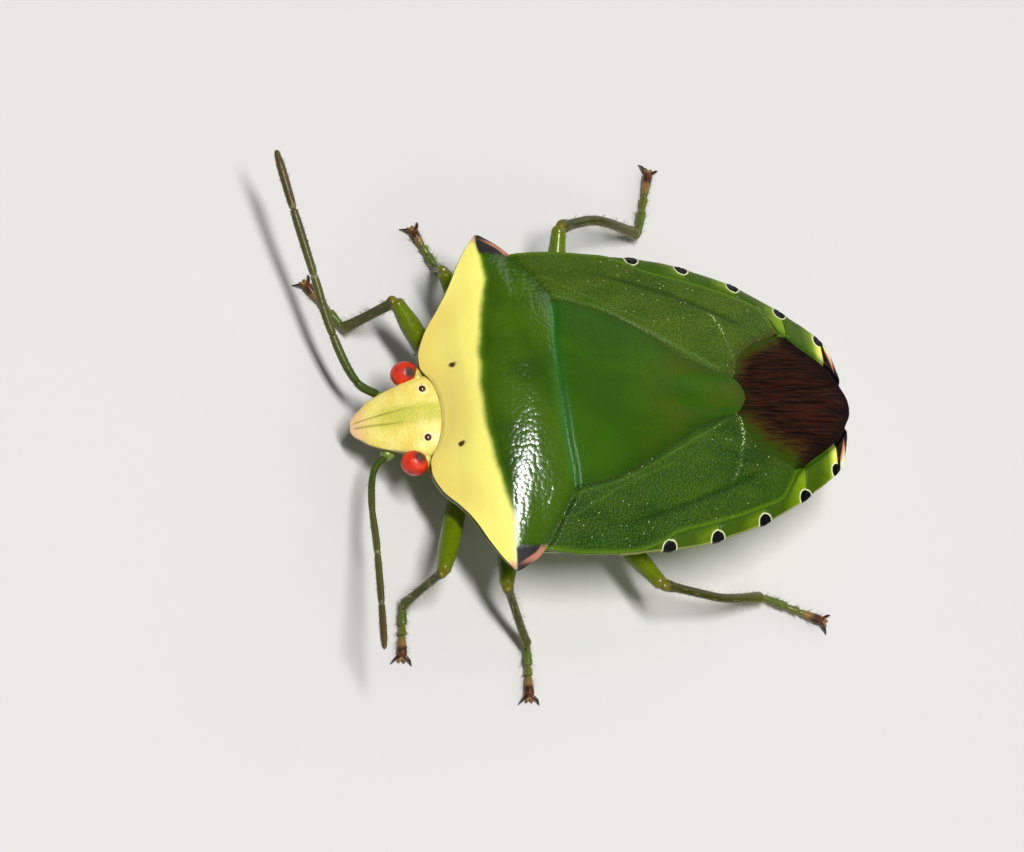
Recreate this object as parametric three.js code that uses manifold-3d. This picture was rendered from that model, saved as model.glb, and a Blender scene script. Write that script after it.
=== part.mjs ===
import * as THREE from "three";
import { mergeVertices } from "three/addons/utils/BufferGeometryUtils.js";
import Module from "manifold-3d";

const wasm = await Module();
wasm.setup();

const lerp = THREE.MathUtils.lerp;

// A shield bug at life size, in millimetres. Y runs from the head's tip (0) to the tail,
// X points to the bug's left and Z up from the floor that its six feet stand on.

const BODY_LENGTH = 20;
const GAP = 0.15;
const PLATE = 0.6;
const MEMBRANE_PLATE = 0.5;
const PRONOTUM_PLATE = 0.7;
const PRONOTUM_EDGE = 0.4;
const PRONOTUM_BEVEL = 0.08;
const SPINE_TAPER = 0.35;
const CORE_INSET = 0.45;
const CORE_RIM = 0.25;
const CORE_REACH = 5.6;
const BACK_ROUND = 2.2;
const THORAX_FRONT = 3.55;
const WAIST = 8.75;
const ABDOMEN_REAR = BODY_LENGTH - 0.5;
const SPINE_TIP = 6.85;
const SCUTELLUM_APEX = 14.97;
const SCUTELLUM_SHOULDER = 3.8;
const CORIUM_INNER_END = 14.62;
const CORIUM_APEX = 17.05;
const CORIUM_OUTER_FRONT = 6.02;
const MEMBRANE_REACH = 2.6;
const CONNEXIVUM_FRONT = 9.7;
const CONNEXIVUM_REAR = 19.4;
const VEIN_HEIGHT = 0.09;
const COXA_X = 1.3;
const COXA_Z = 1.45;
const COXA_RADIUS = 0.5;
const FLOOR = 0;
const WELD = 1e-5;

// How finely each round form is cut: sides, then rings
const FACETS = {
  eye: [12, 9],
  antennaRoot: [8, 6],
  antennaSocket: [10, 6],
  antenna: [7, 16],
  head: [24, 11],
  ocellus: [8, 5],
  buccula: [6, 6],
  rostrum: [7, 10],
  coxa: [8, 6],
  femur: [7, 6],
  joint: [6, 4],
  tibia: [7, 2],
  bowedTibia: [7, 4],
  tarsus: [7, 5],
  claw: [5, 3],
};

// Smooth curve through a few [station, value] stops
function through(stops) {
  const stations = stops.map((stop) => stop[0]);
  const values = stops.map((stop) => stop[1]);
  const curve = new THREE.CubicInterpolant(stations, values, 1, new Float64Array(1));
  const last = stations[stations.length - 1];
  return (station) => curve.evaluate(THREE.MathUtils.clamp(station, stations[0], last))[0];
}

// Lengthwise profiles of the whole body, by station
const midHeight = through([
  [2.6, 3.3], [3.3, 4.0], [3.9, 4.85], [4.5, 5.4], [5.2, 5.75], [6.2, 6.02], [7.1, 6.08],
  [9, 5.98], [12, 5.68], [15, 5.38], [17, 5.0], [19, 4.5], [20, 4.15],
]);
const rimHeight = through([
  [2.6, 3.27], [3.3, 4.0], [3.62, 4.29], [4.1, 4.5], [4.95, 4.7], [6.3, 4.75], [10, 4.65],
  [15, 4.6], [17, 4.5], [19, 4.4], [20, 4.13],
]);
const keelHeight = through([
  [2.6, 1.75], [4, 1.5], [8.7, 1.4], [11, 1.2], [14, 1.45], [17, 2.3], [19, 3.2], [20, 3.75],
]);
const halfWidth = through([
  [2.6, 2.3], [2.85, 3.2], [3.3, 3.96], [3.8, 4.87], [4.6, 6.4], [4.95, 6.85], [5.5, 6.65],
  [6.1, 6.25], [8, 6.2], [10, 6.14], [12.45, 5.9], [13.75, 5.55], [15, 5.15], [16.8, 4.27],
  [17.8, 3.62], [18.4, 3.22], [19.2, 2.4], [19.62, 1.25], [19.85, 0.55], [20, 0.2],
]);

// Plan outlines: fronts and rears by distance from the middle, sides by station
const pronotumFront = through([
  [0, 3.35], [1, 3.2], [1.5, 2.95], [1.9, 2.68], [2.16, 2.6], [3.2, 2.85], [3.96, 3.3],
  [4.87, 3.8], [5.57, 4.13], [6.4, 4.6], [SPINE_TIP, 4.93],
]);
const pronotumRear = through([
  [0, 7.1], [2, 7.2], [3.3, 7.38], [3.87, 7.4], [4.5, 7.1], [5.2, 6.7], [5.9, 6.3],
  [6.3, 6.0], [6.65, 5.5], [SPINE_TIP, 5.15],
]);
const scutellumSide = through([
  [7.3, 3.84], [8.68, 3.57], [10.1, 3.0], [11.5, 2.18], [12.9, 1.3], [13.85, 0.9], [14.3, 0.82],
  [14.67, 0.62], [14.85, 0.4], [SCUTELLUM_APEX, 0.16],
]);
const hemelytronEdge = through([
  [6.2, 6.02], [8, 6.18], [10, 6.1], [11, 5.8], [11.7, 5.42], [13, 5.1], [14.3, 4.75],
  [15.4, 4.38], [16.3, 4.0], [16.8, 3.3], [17.1, 2.85], [17.8, 2.4], [18.6, 1.85],
  [19.2, 1.35], [19.6, 0.8], [19.85, 0.3],
]);
const membraneSuture = through([[0.7, 14.65], [1.2, 14.78], [1.6, 14.98], [2.15, 15.6], [2.85, 17.05]]);
const membraneFront = through([
  [0, 15.14], [0.4, 15.06], [0.7, 14.9], [1.2, 14.96], [1.6, 15.16], [2.1, 15.7], [2.6, 16.9],
]);
const membraneRear = through([
  [0, 19.82], [0.3, 19.78], [0.75, 19.5], [1.2, 19.2], [1.7, 18.62], [2.25, 17.8], [2.6, 17.35],
]);

// Places of the connexivum's segment ends, each a small tooth on the rim
const SEGMENT_ENDS = [11.34, 13.4, 15.48, 17.37, 18.91];
const THORAX_ENDS = [5.6, 7.5];
const SEGMENT_STEP = 0.12;
const STERNITE = 0.08;
const TOOTH = 0.14;

function backHeight(x, y) {
  const share = Math.min(Math.abs(x) / halfWidth(y), 1);
  return midHeight(y) - (midHeight(y) - rimHeight(y)) * share ** BACK_ROUND;
}

// Rows along the body: a few in each segment, with a short step at each segment's end
function segmentRows(front, rear, ends, step, shares) {
  const rows = [];
  const stops = [front, ...ends, rear];
  for (let i = 0; i + 1 < stops.length; i++) {
    const first = i ? stops[i] + step : stops[i];
    for (const share of shares) rows.push(lerp(first, stops[i + 1], share));
  }
  return rows;
}

// How far along its segment a station lies, from 0 to 1
function segmentShare(y, front, rear, ends) {
  const stops = [front, ...ends, rear];
  const next = Math.max(1, stops.findIndex((stop) => stop >= y - WELD));
  return (y - stops[next - 1]) / (stops[next] - stops[next - 1]);
}

// Closed solid from a closed geometry, and back
function solid(geometry) {
  const bare = geometry.clone();
  bare.deleteAttribute("normal");
  bare.deleteAttribute("uv");
  const merged = mergeVertices(bare, WELD);
  const vertProperties = Float32Array.from(merged.attributes.position.array);
  const triVerts = Uint32Array.from(merged.index.array);
  return new wasm.Manifold(new wasm.Mesh({ numProp: 3, vertProperties, triVerts }));
}

function geometryOf(body) {
  const pieces = body.decompose();
  const largest = pieces.reduce((a, b) => (a.volume() > b.volume() ? a : b));
  const mesh = largest.getMesh();
  const geometry = new THREE.BufferGeometry();
  geometry.setAttribute("position", new THREE.BufferAttribute(mesh.vertProperties, 3));
  geometry.setIndex(new THREE.BufferAttribute(mesh.triVerts, 1));
  geometry.computeVertexNormals();
  return geometry;
}

function reshape(geometry, place) {
  const position = geometry.attributes.position;
  const point = new THREE.Vector3();
  for (let i = 0; i < position.count; i++) {
    point.fromBufferAttribute(position, i);
    const [x, y, z] = place(point.x, point.y, point.z);
    position.setXYZ(i, x, y, z);
  }
  return geometry;
}

// Plate over a plan region: plan(u, v) gives x and y, top and bottom give heights there
function slab({ across, along, plan, top, bottom }) {
  const block = new THREE.BoxGeometry(1, 1, 1, across, along, 1);
  return solid(reshape(block, (bx, by, bz) => {
    const u = bx + 0.5;
    const v = by + 0.5;
    const [x, y] = plan(u, v);
    const height = bz > 0 ? top(x, y, u, v) : bottom(x, y, u, v);
    return [x, y, height];
  }));
}

// Round bar along a path, its radius a function of the share of its length
function limb(points, radius, sides, rings) {
  const curve = points.length > 2
    ? new THREE.CatmullRomCurve3(points, false, "centripetal")
    : new THREE.LineCurve3(points[0], points[1]);
  const frames = curve.computeFrenetFrames(rings);
  const bar = new THREE.CylinderGeometry(1, 1, 1, sides, rings);
  return solid(reshape(bar, (c, along, s) => {
    const t = along + 0.5;
    const ring = Math.round(t * rings);
    const point = curve.getPointAt(t);
    point.addScaledVector(frames.binormals[ring], c * radius(t));
    point.addScaledVector(frames.normals[ring], s * radius(t));
    return point.toArray();
  }));
}

function ball(center, radius, sides, rings) {
  const geometry = new THREE.SphereGeometry(1, sides, rings);
  geometry.rotateX(Math.PI / 2);
  const size = Array.isArray(radius) ? radius : [radius, radius, radius];
  geometry.scale(...size);
  geometry.translate(center.x, center.y, center.z);
  return solid(geometry);
}

function joined(pieces) {
  return pieces.reduce((whole, piece) => whole.add(piece));
}

function at(x, y, z) {
  return new THREE.Vector3(x, y, z);
}

const group = new THREE.Group();

function node(name, body, [color, roughness]) {
  const material = new THREE.MeshStandardMaterial({ color, roughness, metalness: 0 });
  const mesh = new THREE.Mesh(geometryOf(body), material);
  mesh.name = name;
  group.add(mesh);
}

// Eyes: slightly oval globes in sockets at the head's rear corners
const EYE = { x: 1.8, y: 2.08, z: 2.76, size: [0.54, 0.47, 0.52] };

function eye(side, grow) {
  const size = EYE.size.map((radius) => radius + grow);
  return ball(at(side * EYE.x, EYE.y, EYE.z), size, ...FACETS.eye);
}

// Antennae: five segments from a ball in a socket under the head's side
const ANTENNA_RADIUS = 0.25;
const ANTENNA_TIP = 0.12;
const ANTENNA_ROOT = { x: 1.32, y: 1.22, z: 1.95, radius: 0.3 };
const ANTENNA_PATHS = {
  right: [[-1.32, 1.22, 1.95], [-1.62, 0.42, 2.2], [-3.62, -0.66, 2.8], [-5.77, -1.32, 3.4],
    [-8.05, -2.01, 4.0], [-10.42, -2.59, 4.4]],
  left: [[1.32, 1.22, 1.95], [1.75, 0.75, 1.95], [3.2, 0.35, 2.3], [5.2, 0.1, 3.0],
    [7.6, -0.25, 3.8], [9.9, -0.6, 4.5]],
};
const ANTENNA_JOINTS = [0.1, 0.28, 0.5, 0.75];
const ANTENNA_JOINT_REACH = 0.012;
const ANTENNA_WAIST = 0.9;
const ANTENNA_TAPER_FROM = 0.85;

function antennaRadius(t) {
  const nearest = Math.min(...ANTENNA_JOINTS.map((joint) => Math.abs(t - joint)));
  const waist = nearest < ANTENNA_JOINT_REACH ? ANTENNA_WAIST : 1;
  const tapered = Math.max(0, (t - ANTENNA_TAPER_FROM) / (1 - ANTENNA_TAPER_FROM));
  const end = 1 - tapered ** 2;
  return lerp(ANTENNA_TIP, ANTENNA_RADIUS, end) * waist;
}

function antenna(name) {
  const path = ANTENNA_PATHS[name].map((point) => at(...point));
  const root = ball(path[0], ANTENNA_ROOT.radius, ...FACETS.antennaRoot);
  return root.add(limb(path, antennaRadius, ...FACETS.antenna));
}

function antennaSocket(side) {
  const { x, y, z, radius } = ANTENNA_ROOT;
  return ball(at(side * x, y, z), radius + GAP, ...FACETS.antennaSocket);
}

// Head: a flat wedge, widest before the eyes, with a raised middle lobe and two ocelli
const headHalfWidth = through([
  [0, 0.12], [0.05, 0.28], [0.15, 0.42], [0.3, 0.56], [0.6, 0.84], [1.0, 1.07], [1.4, 1.24], [1.7, 1.34],
  [2.1, 1.52], [2.7, 1.62], [3.35, 1.55],
]);
const headRim = through([
  [0, 1.72], [0.3, 1.9], [0.6, 2.1], [1, 2.3], [1.75, 2.7], [2.25, 2.9], [3.35, 3.2],
]);
const headCrown = through([[0, 0.06], [0.3, 0.17], [1, 0.3], [2, 0.42], [3.35, 0.5]]);
const headDepth = through([[0, 0.12], [0.3, 0.34], [1, 0.72], [2, 1.1], [3.35, 1.4]]);
const HEAD_REAR_WIDTH = headHalfWidth(3);
const HEAD_CROWDING = 1.3;
const HEAD_BELLY = 0.8;
const LOBE_WIDTH = 0.4;
const LOBE_RISE = 0.07;
const OCELLUS = { x: 0.99, y: 2.56, radius: 0.15 };
const BUCCULA = { x: 0.4, y: 1.1, z: 1.5, size: [0.14, 0.75, 0.22] };

function headTop(x, y) {
  const share = Math.min(Math.abs(x) / headHalfWidth(y), 1);
  const lobe = LOBE_RISE * Math.max(0, 1 - (Math.abs(x) / LOBE_WIDTH) ** 4);
  return headRim(y) + headCrown(y) * Math.sqrt(1 - share * share) + lobe;
}

function headShell() {
  const wedge = new THREE.CylinderGeometry(1, 1, 1, ...FACETS.head);
  return solid(reshape(wedge, (c, along, s) => {
    const t = (along + 0.5) ** HEAD_CROWDING;
    const rear = pronotumFront(HEAD_REAR_WIDTH * Math.abs(c)) - GAP;
    const y = t * rear;
    const x = c * headHalfWidth(y);
    if (c === 0 && s === 0) return [x, y, headRim(y)];
    const under = headRim(y) - headDepth(y) * Math.abs(s) ** HEAD_BELLY;
    return [x, y, s > 0 ? headTop(x, y) : under];
  }));
}

function head() {
  const parts = [headShell()];
  for (const side of [-1, 1]) {
    const ocellus = at(side * OCELLUS.x, OCELLUS.y, headTop(OCELLUS.x, OCELLUS.y));
    parts.push(ball(ocellus, OCELLUS.radius, ...FACETS.ocellus));
    const buccula = at(side * BUCCULA.x, BUCCULA.y, BUCCULA.z);
    parts.push(ball(buccula, BUCCULA.size, ...FACETS.buccula));
  }
  let body = joined(parts);
  for (const side of [-1, 1]) {
    body = body.subtract(eye(side, GAP)).subtract(antennaSocket(side));
  }
  return body;
}

// Rostrum: the four-part beak folded back under head and thorax
const ROSTRUM_PATH = [
  at(0, 0.75, 1.12), at(0, 2.2, 1.1), at(0, 4.2, 1.06), at(0, 6.4, 1.0), at(0, 8.5, 0.98),
];
const ROSTRUM_RADIUS = through([
  [0, 0.2], [0.06, 0.27], [0.3, 0.24], [0.34, 0.26], [0.6, 0.25], [0.9, 0.24], [1, 0.12],
]);

function rostrum() {
  return limb(ROSTRUM_PATH, ROSTRUM_RADIUS, ...FACETS.rostrum);
}

// Pronotum: the shield behind the head, drawn out into a spine on each side
const SPINE_CROWDING = 0.9;
const SPINE_NARROWING = 6;
const PRONOTUM_EDGE_RISE = 5;
const PRONOTUM_GRID = { across: 30, along: 10 };

function pronotum() {
  const plan = (u, v) => {
    const swing = 2 * u - 1;
    const x = Math.sign(swing) * SPINE_TIP * Math.abs(swing) ** SPINE_CROWDING;
    const distance = Math.abs(x);
    return [x, lerp(pronotumFront(distance), pronotumRear(distance), v)];
  };
  const inside = (v) => Math.min(1, PRONOTUM_EDGE_RISE * v * (1 - v));
  const top = (x, y, u, v) => backHeight(x, y) - PRONOTUM_BEVEL * (1 - inside(v));
  const bottom = (x, y, u, v) => {
    const narrowing = 1 - SPINE_TAPER * Math.abs(x / SPINE_TIP) ** SPINE_NARROWING;
    return top(x, y, u, v) - lerp(PRONOTUM_EDGE, PRONOTUM_PLATE, inside(v)) * narrowing;
  };
  let body = slab({ ...PRONOTUM_GRID, plan, top, bottom });
  for (const side of [-1, 1]) body = body.subtract(eye(side, GAP));
  return body;
}

// Scutellum: the long triangle between the wings
const SCUTELLUM_FRONT = 7.3;
const SCUTELLUM_CROWDING = 1.5;
const SCUTELLUM_CROWN = 0.1;
const SCUTELLUM_APEX_RISE = 4;
const SCUTELLUM_GRID = { across: 10, along: 12 };

function scutellum() {
  const plan = (u, v) => {
    const along = 1 - (1 - v) ** SCUTELLUM_CROWDING;
    const x = (2 * u - 1) * scutellumSide(lerp(SCUTELLUM_FRONT, SCUTELLUM_APEX, along));
    const front = pronotumRear(Math.abs(2 * u - 1) * SCUTELLUM_SHOULDER) + GAP;
    return [x, lerp(front, SCUTELLUM_APEX, along)];
  };
  const top = (x, y, u, v) => {
    const flattening = Math.min(1, SCUTELLUM_APEX_RISE * (1 - v));
    return backHeight(x, y) + SCUTELLUM_CROWN * (1 - (2 * u - 1) ** 2) * flattening;
  };
  const bottom = (x, y) => backHeight(x, y) - PLATE;
  return slab({ ...SCUTELLUM_GRID, plan, top, bottom });
}

// Corium: the leathery forewing, with two main veins as ridges
const CORIUM_COLUMNS = 11;
const CORIUM_ROWS = 12;
const CORIUM_ROLL = 0.06;
const CORIUM_ROLL_POWER = 6;
const CORIUM_VEINS = [2, 6];

function corium() {
  const front = (u) => {
    const x = lerp(SCUTELLUM_SHOULDER + GAP, CORIUM_OUTER_FRONT, u);
    return [x, pronotumRear(x) + GAP];
  };
  const rear = (u) => {
    const x = lerp(scutellumSide(CORIUM_INNER_END) + GAP, hemelytronEdge(CORIUM_APEX), u);
    return [x, membraneSuture(x)];
  };
  const inner = (v) => {
    const y = lerp(front(0)[1], rear(0)[1], v);
    return [scutellumSide(y) + GAP, y];
  };
  const outer = (v) => {
    const y = lerp(front(1)[1], rear(1)[1], v);
    return [hemelytronEdge(y), y];
  };
  const plan = (u, v) => [0, 1].map((axis) => {
    const sides = lerp(inner(v)[axis], outer(v)[axis], u);
    const ends = lerp(front(u)[axis], rear(u)[axis], v);
    const frontCorners = lerp(inner(0)[axis], outer(0)[axis], u);
    const rearCorners = lerp(inner(1)[axis], outer(1)[axis], u);
    return sides + ends - lerp(frontCorners, rearCorners, v);
  });
  const vein = (u) => {
    const column = u * CORIUM_COLUMNS;
    const nearest = Math.min(...CORIUM_VEINS.map((place) => Math.abs(column - place)));
    return VEIN_HEIGHT * Math.max(0, 1 - nearest);
  };
  const top = (x, y, u) => backHeight(x, y) + vein(u) - CORIUM_ROLL * u ** CORIUM_ROLL_POWER;
  const bottom = (x, y) => backHeight(x, y) - PLATE;
  return slab({ across: CORIUM_COLUMNS, along: CORIUM_ROWS, plan, top, bottom });
}

// Membranes: the left wing's end lies over the right one's, which shows beside it
const MEMBRANE_COLUMNS = { left: 12, right: 8 };
const MEMBRANE_ROWS = 7;
const MEMBRANE_DROP = 0.12;
const OVERLAP_START = -0.3;
const OVERLAP_DRIFT = -0.55;

function membraneTop(x, y, u) {
  const ridge = Math.round(u * MEMBRANE_COLUMNS.left) % 2 ? VEIN_HEIGHT : 0;
  return backHeight(x, y) - MEMBRANE_DROP + ridge;
}

function membraneBottom(x, y) {
  return backHeight(x, y) - MEMBRANE_DROP - MEMBRANE_PLATE;
}

function overlapLine(v) {
  return OVERLAP_START + OVERLAP_DRIFT * v;
}

function membrane(side) {
  const plan = (u, v) => {
    const from = side > 0 ? overlapLine(v) : -MEMBRANE_REACH;
    const to = side > 0 ? MEMBRANE_REACH : overlapLine(v) - GAP;
    const x = lerp(from, to, u);
    const distance = Math.abs(x);
    return [x, lerp(membraneFront(distance), membraneRear(distance), v)];
  };
  const across = side > 0 ? MEMBRANE_COLUMNS.left : MEMBRANE_COLUMNS.right;
  return slab({ across, along: MEMBRANE_ROWS, plan, top: membraneTop, bottom: membraneBottom });
}

// Connexivum: the rim of the abdomen beside the wings, toothed at each segment's end
const RIM_COLUMNS = 3;
const RIM_DROP = 0.04;
const RIM_SWELL = 0.1;
const RIM_TILT = 0.08;
const RIM_THINNING = 0.22;
const SEGMENT_SHARES = [0, 0.5, 1];

function connexivum() {
  const rows = segmentRows(CONNEXIVUM_FRONT, CONNEXIVUM_REAR, SEGMENT_ENDS, SEGMENT_STEP, SEGMENT_SHARES);
  const plan = (u, v) => {
    const y = rows[Math.round(v * (rows.length - 1))];
    const along = segmentShare(y, CONNEXIVUM_FRONT, CONNEXIVUM_REAR, SEGMENT_ENDS);
    const inside = hemelytronEdge(y) + GAP;
    const outside = halfWidth(y) - TOOTH / 2 + TOOTH * along ** 2;
    return [lerp(inside, outside, u), y];
  };
  const top = (x, y, u) => {
    const swell = RIM_SWELL * Math.sin(Math.PI * u);
    return rimHeight(y) - RIM_DROP + swell - RIM_TILT * u;
  };
  const bottom = (x, y, u) => rimHeight(y) - PLATE + RIM_THINNING * u;
  return slab({ across: RIM_COLUMNS, along: rows.length - 1, plan, top, bottom });
}

// Underside: thorax and abdomen, one core each below the plates
function core({ rows, across, reach, roundness, relief }) {
  const plan = (u, v) => {
    const y = rows[Math.round(v * (rows.length - 1))];
    return [(2 * u - 1) * reach(y), y];
  };
  const top = (x, y) => backHeight(x, y) - PRONOTUM_PLATE - GAP;
  const bottom = (x, y, u) => {
    const rim = top(reach(y), y) - CORE_RIM;
    const share = Math.abs(2 * u - 1) ** roundness;
    return Math.min(lerp(keelHeight(y) + relief(y), rim, share), top(x, y) - CORE_RIM);
  };
  return slab({ across, along: rows.length - 1, plan, top, bottom });
}

const THORAX_REACH = through([
  [THORAX_FRONT, 2.7], [4.2, 4.3], [4.9, 5.4], [5.6, CORE_REACH], [WAIST, CORE_REACH],
]);
const THORAX_SHAPE = { across: 18, roundness: 1.25 };
const ABDOMEN_SHAPE = { across: 14, roundness: 1.7 };

function thorax() {
  const rows = segmentRows(THORAX_FRONT, WAIST, THORAX_ENDS, SEGMENT_STEP, SEGMENT_SHARES);
  const relief = (y) => -STERNITE * segmentShare(y, THORAX_FRONT, WAIST, THORAX_ENDS);
  return core({ rows, ...THORAX_SHAPE, reach: THORAX_REACH, relief });
}

function abdomen() {
  const front = WAIST + GAP;
  const reach = (y) => Math.min(halfWidth(y) - CORE_INSET, CORE_REACH);
  const rows = segmentRows(front, ABDOMEN_REAR, SEGMENT_ENDS, SEGMENT_STEP, SEGMENT_SHARES);
  const relief = (y) => -STERNITE * segmentShare(y, front, ABDOMEN_REAR, SEGMENT_ENDS);
  return core({ rows, ...ABDOMEN_SHAPE, reach, relief });
}

// Legs: coxa, femur, tibia, tarsus and two claws, each on the floor at its own place
const FEMUR = through([[0, 0.34], [0.12, 0.32], [0.5, 0.4], [0.85, 0.36], [1, 0.3]]);
const TIBIA = through([[0, 0.26], [0.1, 0.27], [0.6, 0.25], [1, 0.28]]);
const TARSUS = through([
  [0, 0.25], [0.3, 0.27], [0.38, 0.25], [0.5, 0.25], [0.6, 0.25], [0.9, 0.27], [1, 0.24],
]);
const CLAW = through([[0, 0.13], [0.6, 0.1], [1, 0.05]]);
const KNEE_RADIUS = 0.31;
const ANKLE_RADIUS = 0.28;
const ANKLE_HEIGHT = 0.5;
const FOOT_HEIGHT = 0.18;
const TROCHANTER_SHARE = 0.1;
const TROCHANTER_DROP = 0.15;
const CLAW_ROOT = -0.12;
const CLAW_BEND = { forward: 0.1, sideways: 0.25 };
const CLAW_TIP = { forward: 0.33, sideways: 0.36, height: 0.05 };
const LEG_ROOM = GAP * 1.1;
const LEGS = {
  leg_front_left: {
    coxa: [1, 4.75], knee: [6.34, 2.67, 3.0], ankle: [6.66, 1.8], foot: [8.76, 1.58],
  },
  leg_front_right: {
    coxa: [-1, 4.75], knee: [-4.77, 1.98, 3.2], ankle: [-4.56, 0.77], foot: [-6.58, -0.58],
  },
  leg_mid_left: {
    coxa: [1, 6.7], knee: [6.91, 5.11, 3.0], ankle: [8.36, 6.64], foot: [10.43, 6.55],
  },
  leg_mid_right: {
    coxa: [-1, 6.7], knee: [-6.0, 4.05, 3.2], ankle: [-7.1, 4.9], foot: [-8.93, 4.11],
  },
  leg_hind_left: {
    coxa: [1, 8.35], knee: [7.06, 11.35, 3.25], ankle: [6.5, 16.6], foot: [7.49, 19.19],
    bow: [0.25, 0, 0.1],
  },
  leg_hind_right: {
    coxa: [-1, 8.35], knee: [-7.87, 8.92, 3.5], ankle: [-8.67, 13.5], foot: [-11.61, 14.42],
    bow: [-0.3, 0, 0.3],
  },
};

function legPoints({ coxa, knee, ankle, foot }) {
  const hip = at(coxa[0] * COXA_X, coxa[1], COXA_Z);
  const kneePoint = at(...knee);
  const trochanter = hip.clone().lerp(kneePoint, TROCHANTER_SHARE);
  trochanter.z = COXA_Z - TROCHANTER_DROP;
  return {
    hip,
    trochanter,
    knee: kneePoint,
    ankle: at(ankle[0], ankle[1], ANKLE_HEIGHT),
    foot: at(foot[0], foot[1], FOOT_HEIGHT),
  };
}

function claws({ ankle, foot }) {
  const forward = foot.clone().sub(ankle).setZ(0).normalize();
  const sideways = at(-forward.y, forward.x, 0);
  const beyond = (place, side) => foot.clone()
    .addScaledVector(forward, place.forward)
    .addScaledVector(sideways, side * place.sideways);
  const root = foot.clone().addScaledVector(forward, CLAW_ROOT);
  return [-1, 1].map((side) => {
    const tip = beyond(CLAW_TIP, side).setZ(CLAW_TIP.height);
    return limb([root, beyond(CLAW_BEND, side), tip], CLAW, ...FACETS.claw);
  });
}

// The shin, straight or bowed a little at its middle
function shin({ knee, ankle }, bow) {
  if (!bow) return limb([knee, ankle], TIBIA, ...FACETS.tibia);
  const middle = knee.clone().lerp(ankle, 0.5).add(at(...bow));
  return limb([knee, middle, ankle], TIBIA, ...FACETS.bowedTibia);
}

function leg(place) {
  const points = legPoints(place);
  const { hip, trochanter, knee, ankle, foot } = points;
  const whole = joined([
    ball(hip, COXA_RADIUS, ...FACETS.coxa),
    limb([hip, trochanter, knee], FEMUR, ...FACETS.femur),
    ball(knee, KNEE_RADIUS, ...FACETS.joint),
    shin(points, place.bow),
    ball(ankle, ANKLE_RADIUS, ...FACETS.joint),
    limb([ankle, foot], TARSUS, ...FACETS.tarsus),
    ...claws(points),
  ]);
  return whole.trimByPlane([0, 0, 1], FLOOR);
}

// Room that a leg's upper part needs in the underside: coxa and femur, one gap larger
function legRoom(place) {
  const { hip, trochanter, knee } = legPoints(place);
  return joined([
    ball(hip, COXA_RADIUS + GAP, ...FACETS.coxa),
    limb([hip, trochanter, knee], (t) => FEMUR(t) + LEG_ROOM, ...FACETS.femur),
  ]);
}

function underside(body) {
  return Object.values(LEGS).reduce((rest, place) => rest.subtract(legRoom(place)), body);
}

// Preview colours and roughness of each kind of part
const LOOKS = {
  head: [0xd8cf6a, 0.4],
  eye: [0xc8321c, 0.15],
  beak: [0x5f7a2c, 0.4],
  antenna: [0x5d7a34, 0.45],
  shield: [0x2f7a1c, 0.3],
  corium: [0x2f6a1c, 0.45],
  membrane: [0x3a1c12, 0.35],
  rim: [0x9ab82a, 0.4],
  belly: [0x7a9a3a, 0.45],
  leg: [0x4f8a22, 0.35],
};

node("head", head(), LOOKS.head);
node("eye_left", eye(1, 0), LOOKS.eye);
node("eye_right", eye(-1, 0), LOOKS.eye);
node("rostrum", rostrum(), LOOKS.beak);
node("antenna_left", antenna("left"), LOOKS.antenna);
node("antenna_right", antenna("right"), LOOKS.antenna);
node("pronotum", pronotum(), LOOKS.shield);
node("scutellum", scutellum(), LOOKS.shield);
node("corium_left", corium(), LOOKS.corium);
node("corium_right", corium().mirror([1, 0, 0]), LOOKS.corium);
node("membrane_left", membrane(1), LOOKS.membrane);
node("membrane_right", membrane(-1), LOOKS.membrane);
node("connexivum_left", connexivum(), LOOKS.rim);
node("connexivum_right", connexivum().mirror([1, 0, 0]), LOOKS.rim);
node("thorax", underside(thorax()), LOOKS.belly);
node("abdomen", underside(abdomen()), LOOKS.belly);
for (const [name, place] of Object.entries(LEGS)) node(name, leg(place), LOOKS.leg);

// The origin is under the middle of the whole, on the floor
const extent = new THREE.Box3().setFromObject(group);
const middle = extent.getCenter(new THREE.Vector3());
group.position.set(-middle.x, -middle.y, -extent.min.z);

export default group;
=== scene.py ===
"""A shield bug in its museum pose: cuticle, eyes, wings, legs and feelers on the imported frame."""

import logging
import math
import random
from bisect import bisect_right
from collections.abc import Callable, Iterable, Sequence
from dataclasses import dataclass, field
from enum import Enum
from functools import cached_property, partial, reduce
from itertools import pairwise

import bmesh
import bpy
from mathutils import Matrix, Vector
from mathutils.kdtree import KDTree


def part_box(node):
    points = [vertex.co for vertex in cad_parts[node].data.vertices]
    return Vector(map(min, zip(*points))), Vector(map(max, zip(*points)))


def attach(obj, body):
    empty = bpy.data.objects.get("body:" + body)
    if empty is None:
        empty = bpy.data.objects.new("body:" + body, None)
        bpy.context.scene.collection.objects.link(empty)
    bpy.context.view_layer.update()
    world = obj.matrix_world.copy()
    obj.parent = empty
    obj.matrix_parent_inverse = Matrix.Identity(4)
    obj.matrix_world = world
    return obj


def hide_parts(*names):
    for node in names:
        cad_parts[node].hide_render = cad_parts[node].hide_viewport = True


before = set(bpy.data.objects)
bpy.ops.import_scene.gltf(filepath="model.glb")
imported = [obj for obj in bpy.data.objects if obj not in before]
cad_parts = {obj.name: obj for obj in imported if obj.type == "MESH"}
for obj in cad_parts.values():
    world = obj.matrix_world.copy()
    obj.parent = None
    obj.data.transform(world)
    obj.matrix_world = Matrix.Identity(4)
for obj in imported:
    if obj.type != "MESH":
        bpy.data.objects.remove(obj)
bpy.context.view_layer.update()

log = logging.getLogger("shield_bug")

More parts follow.
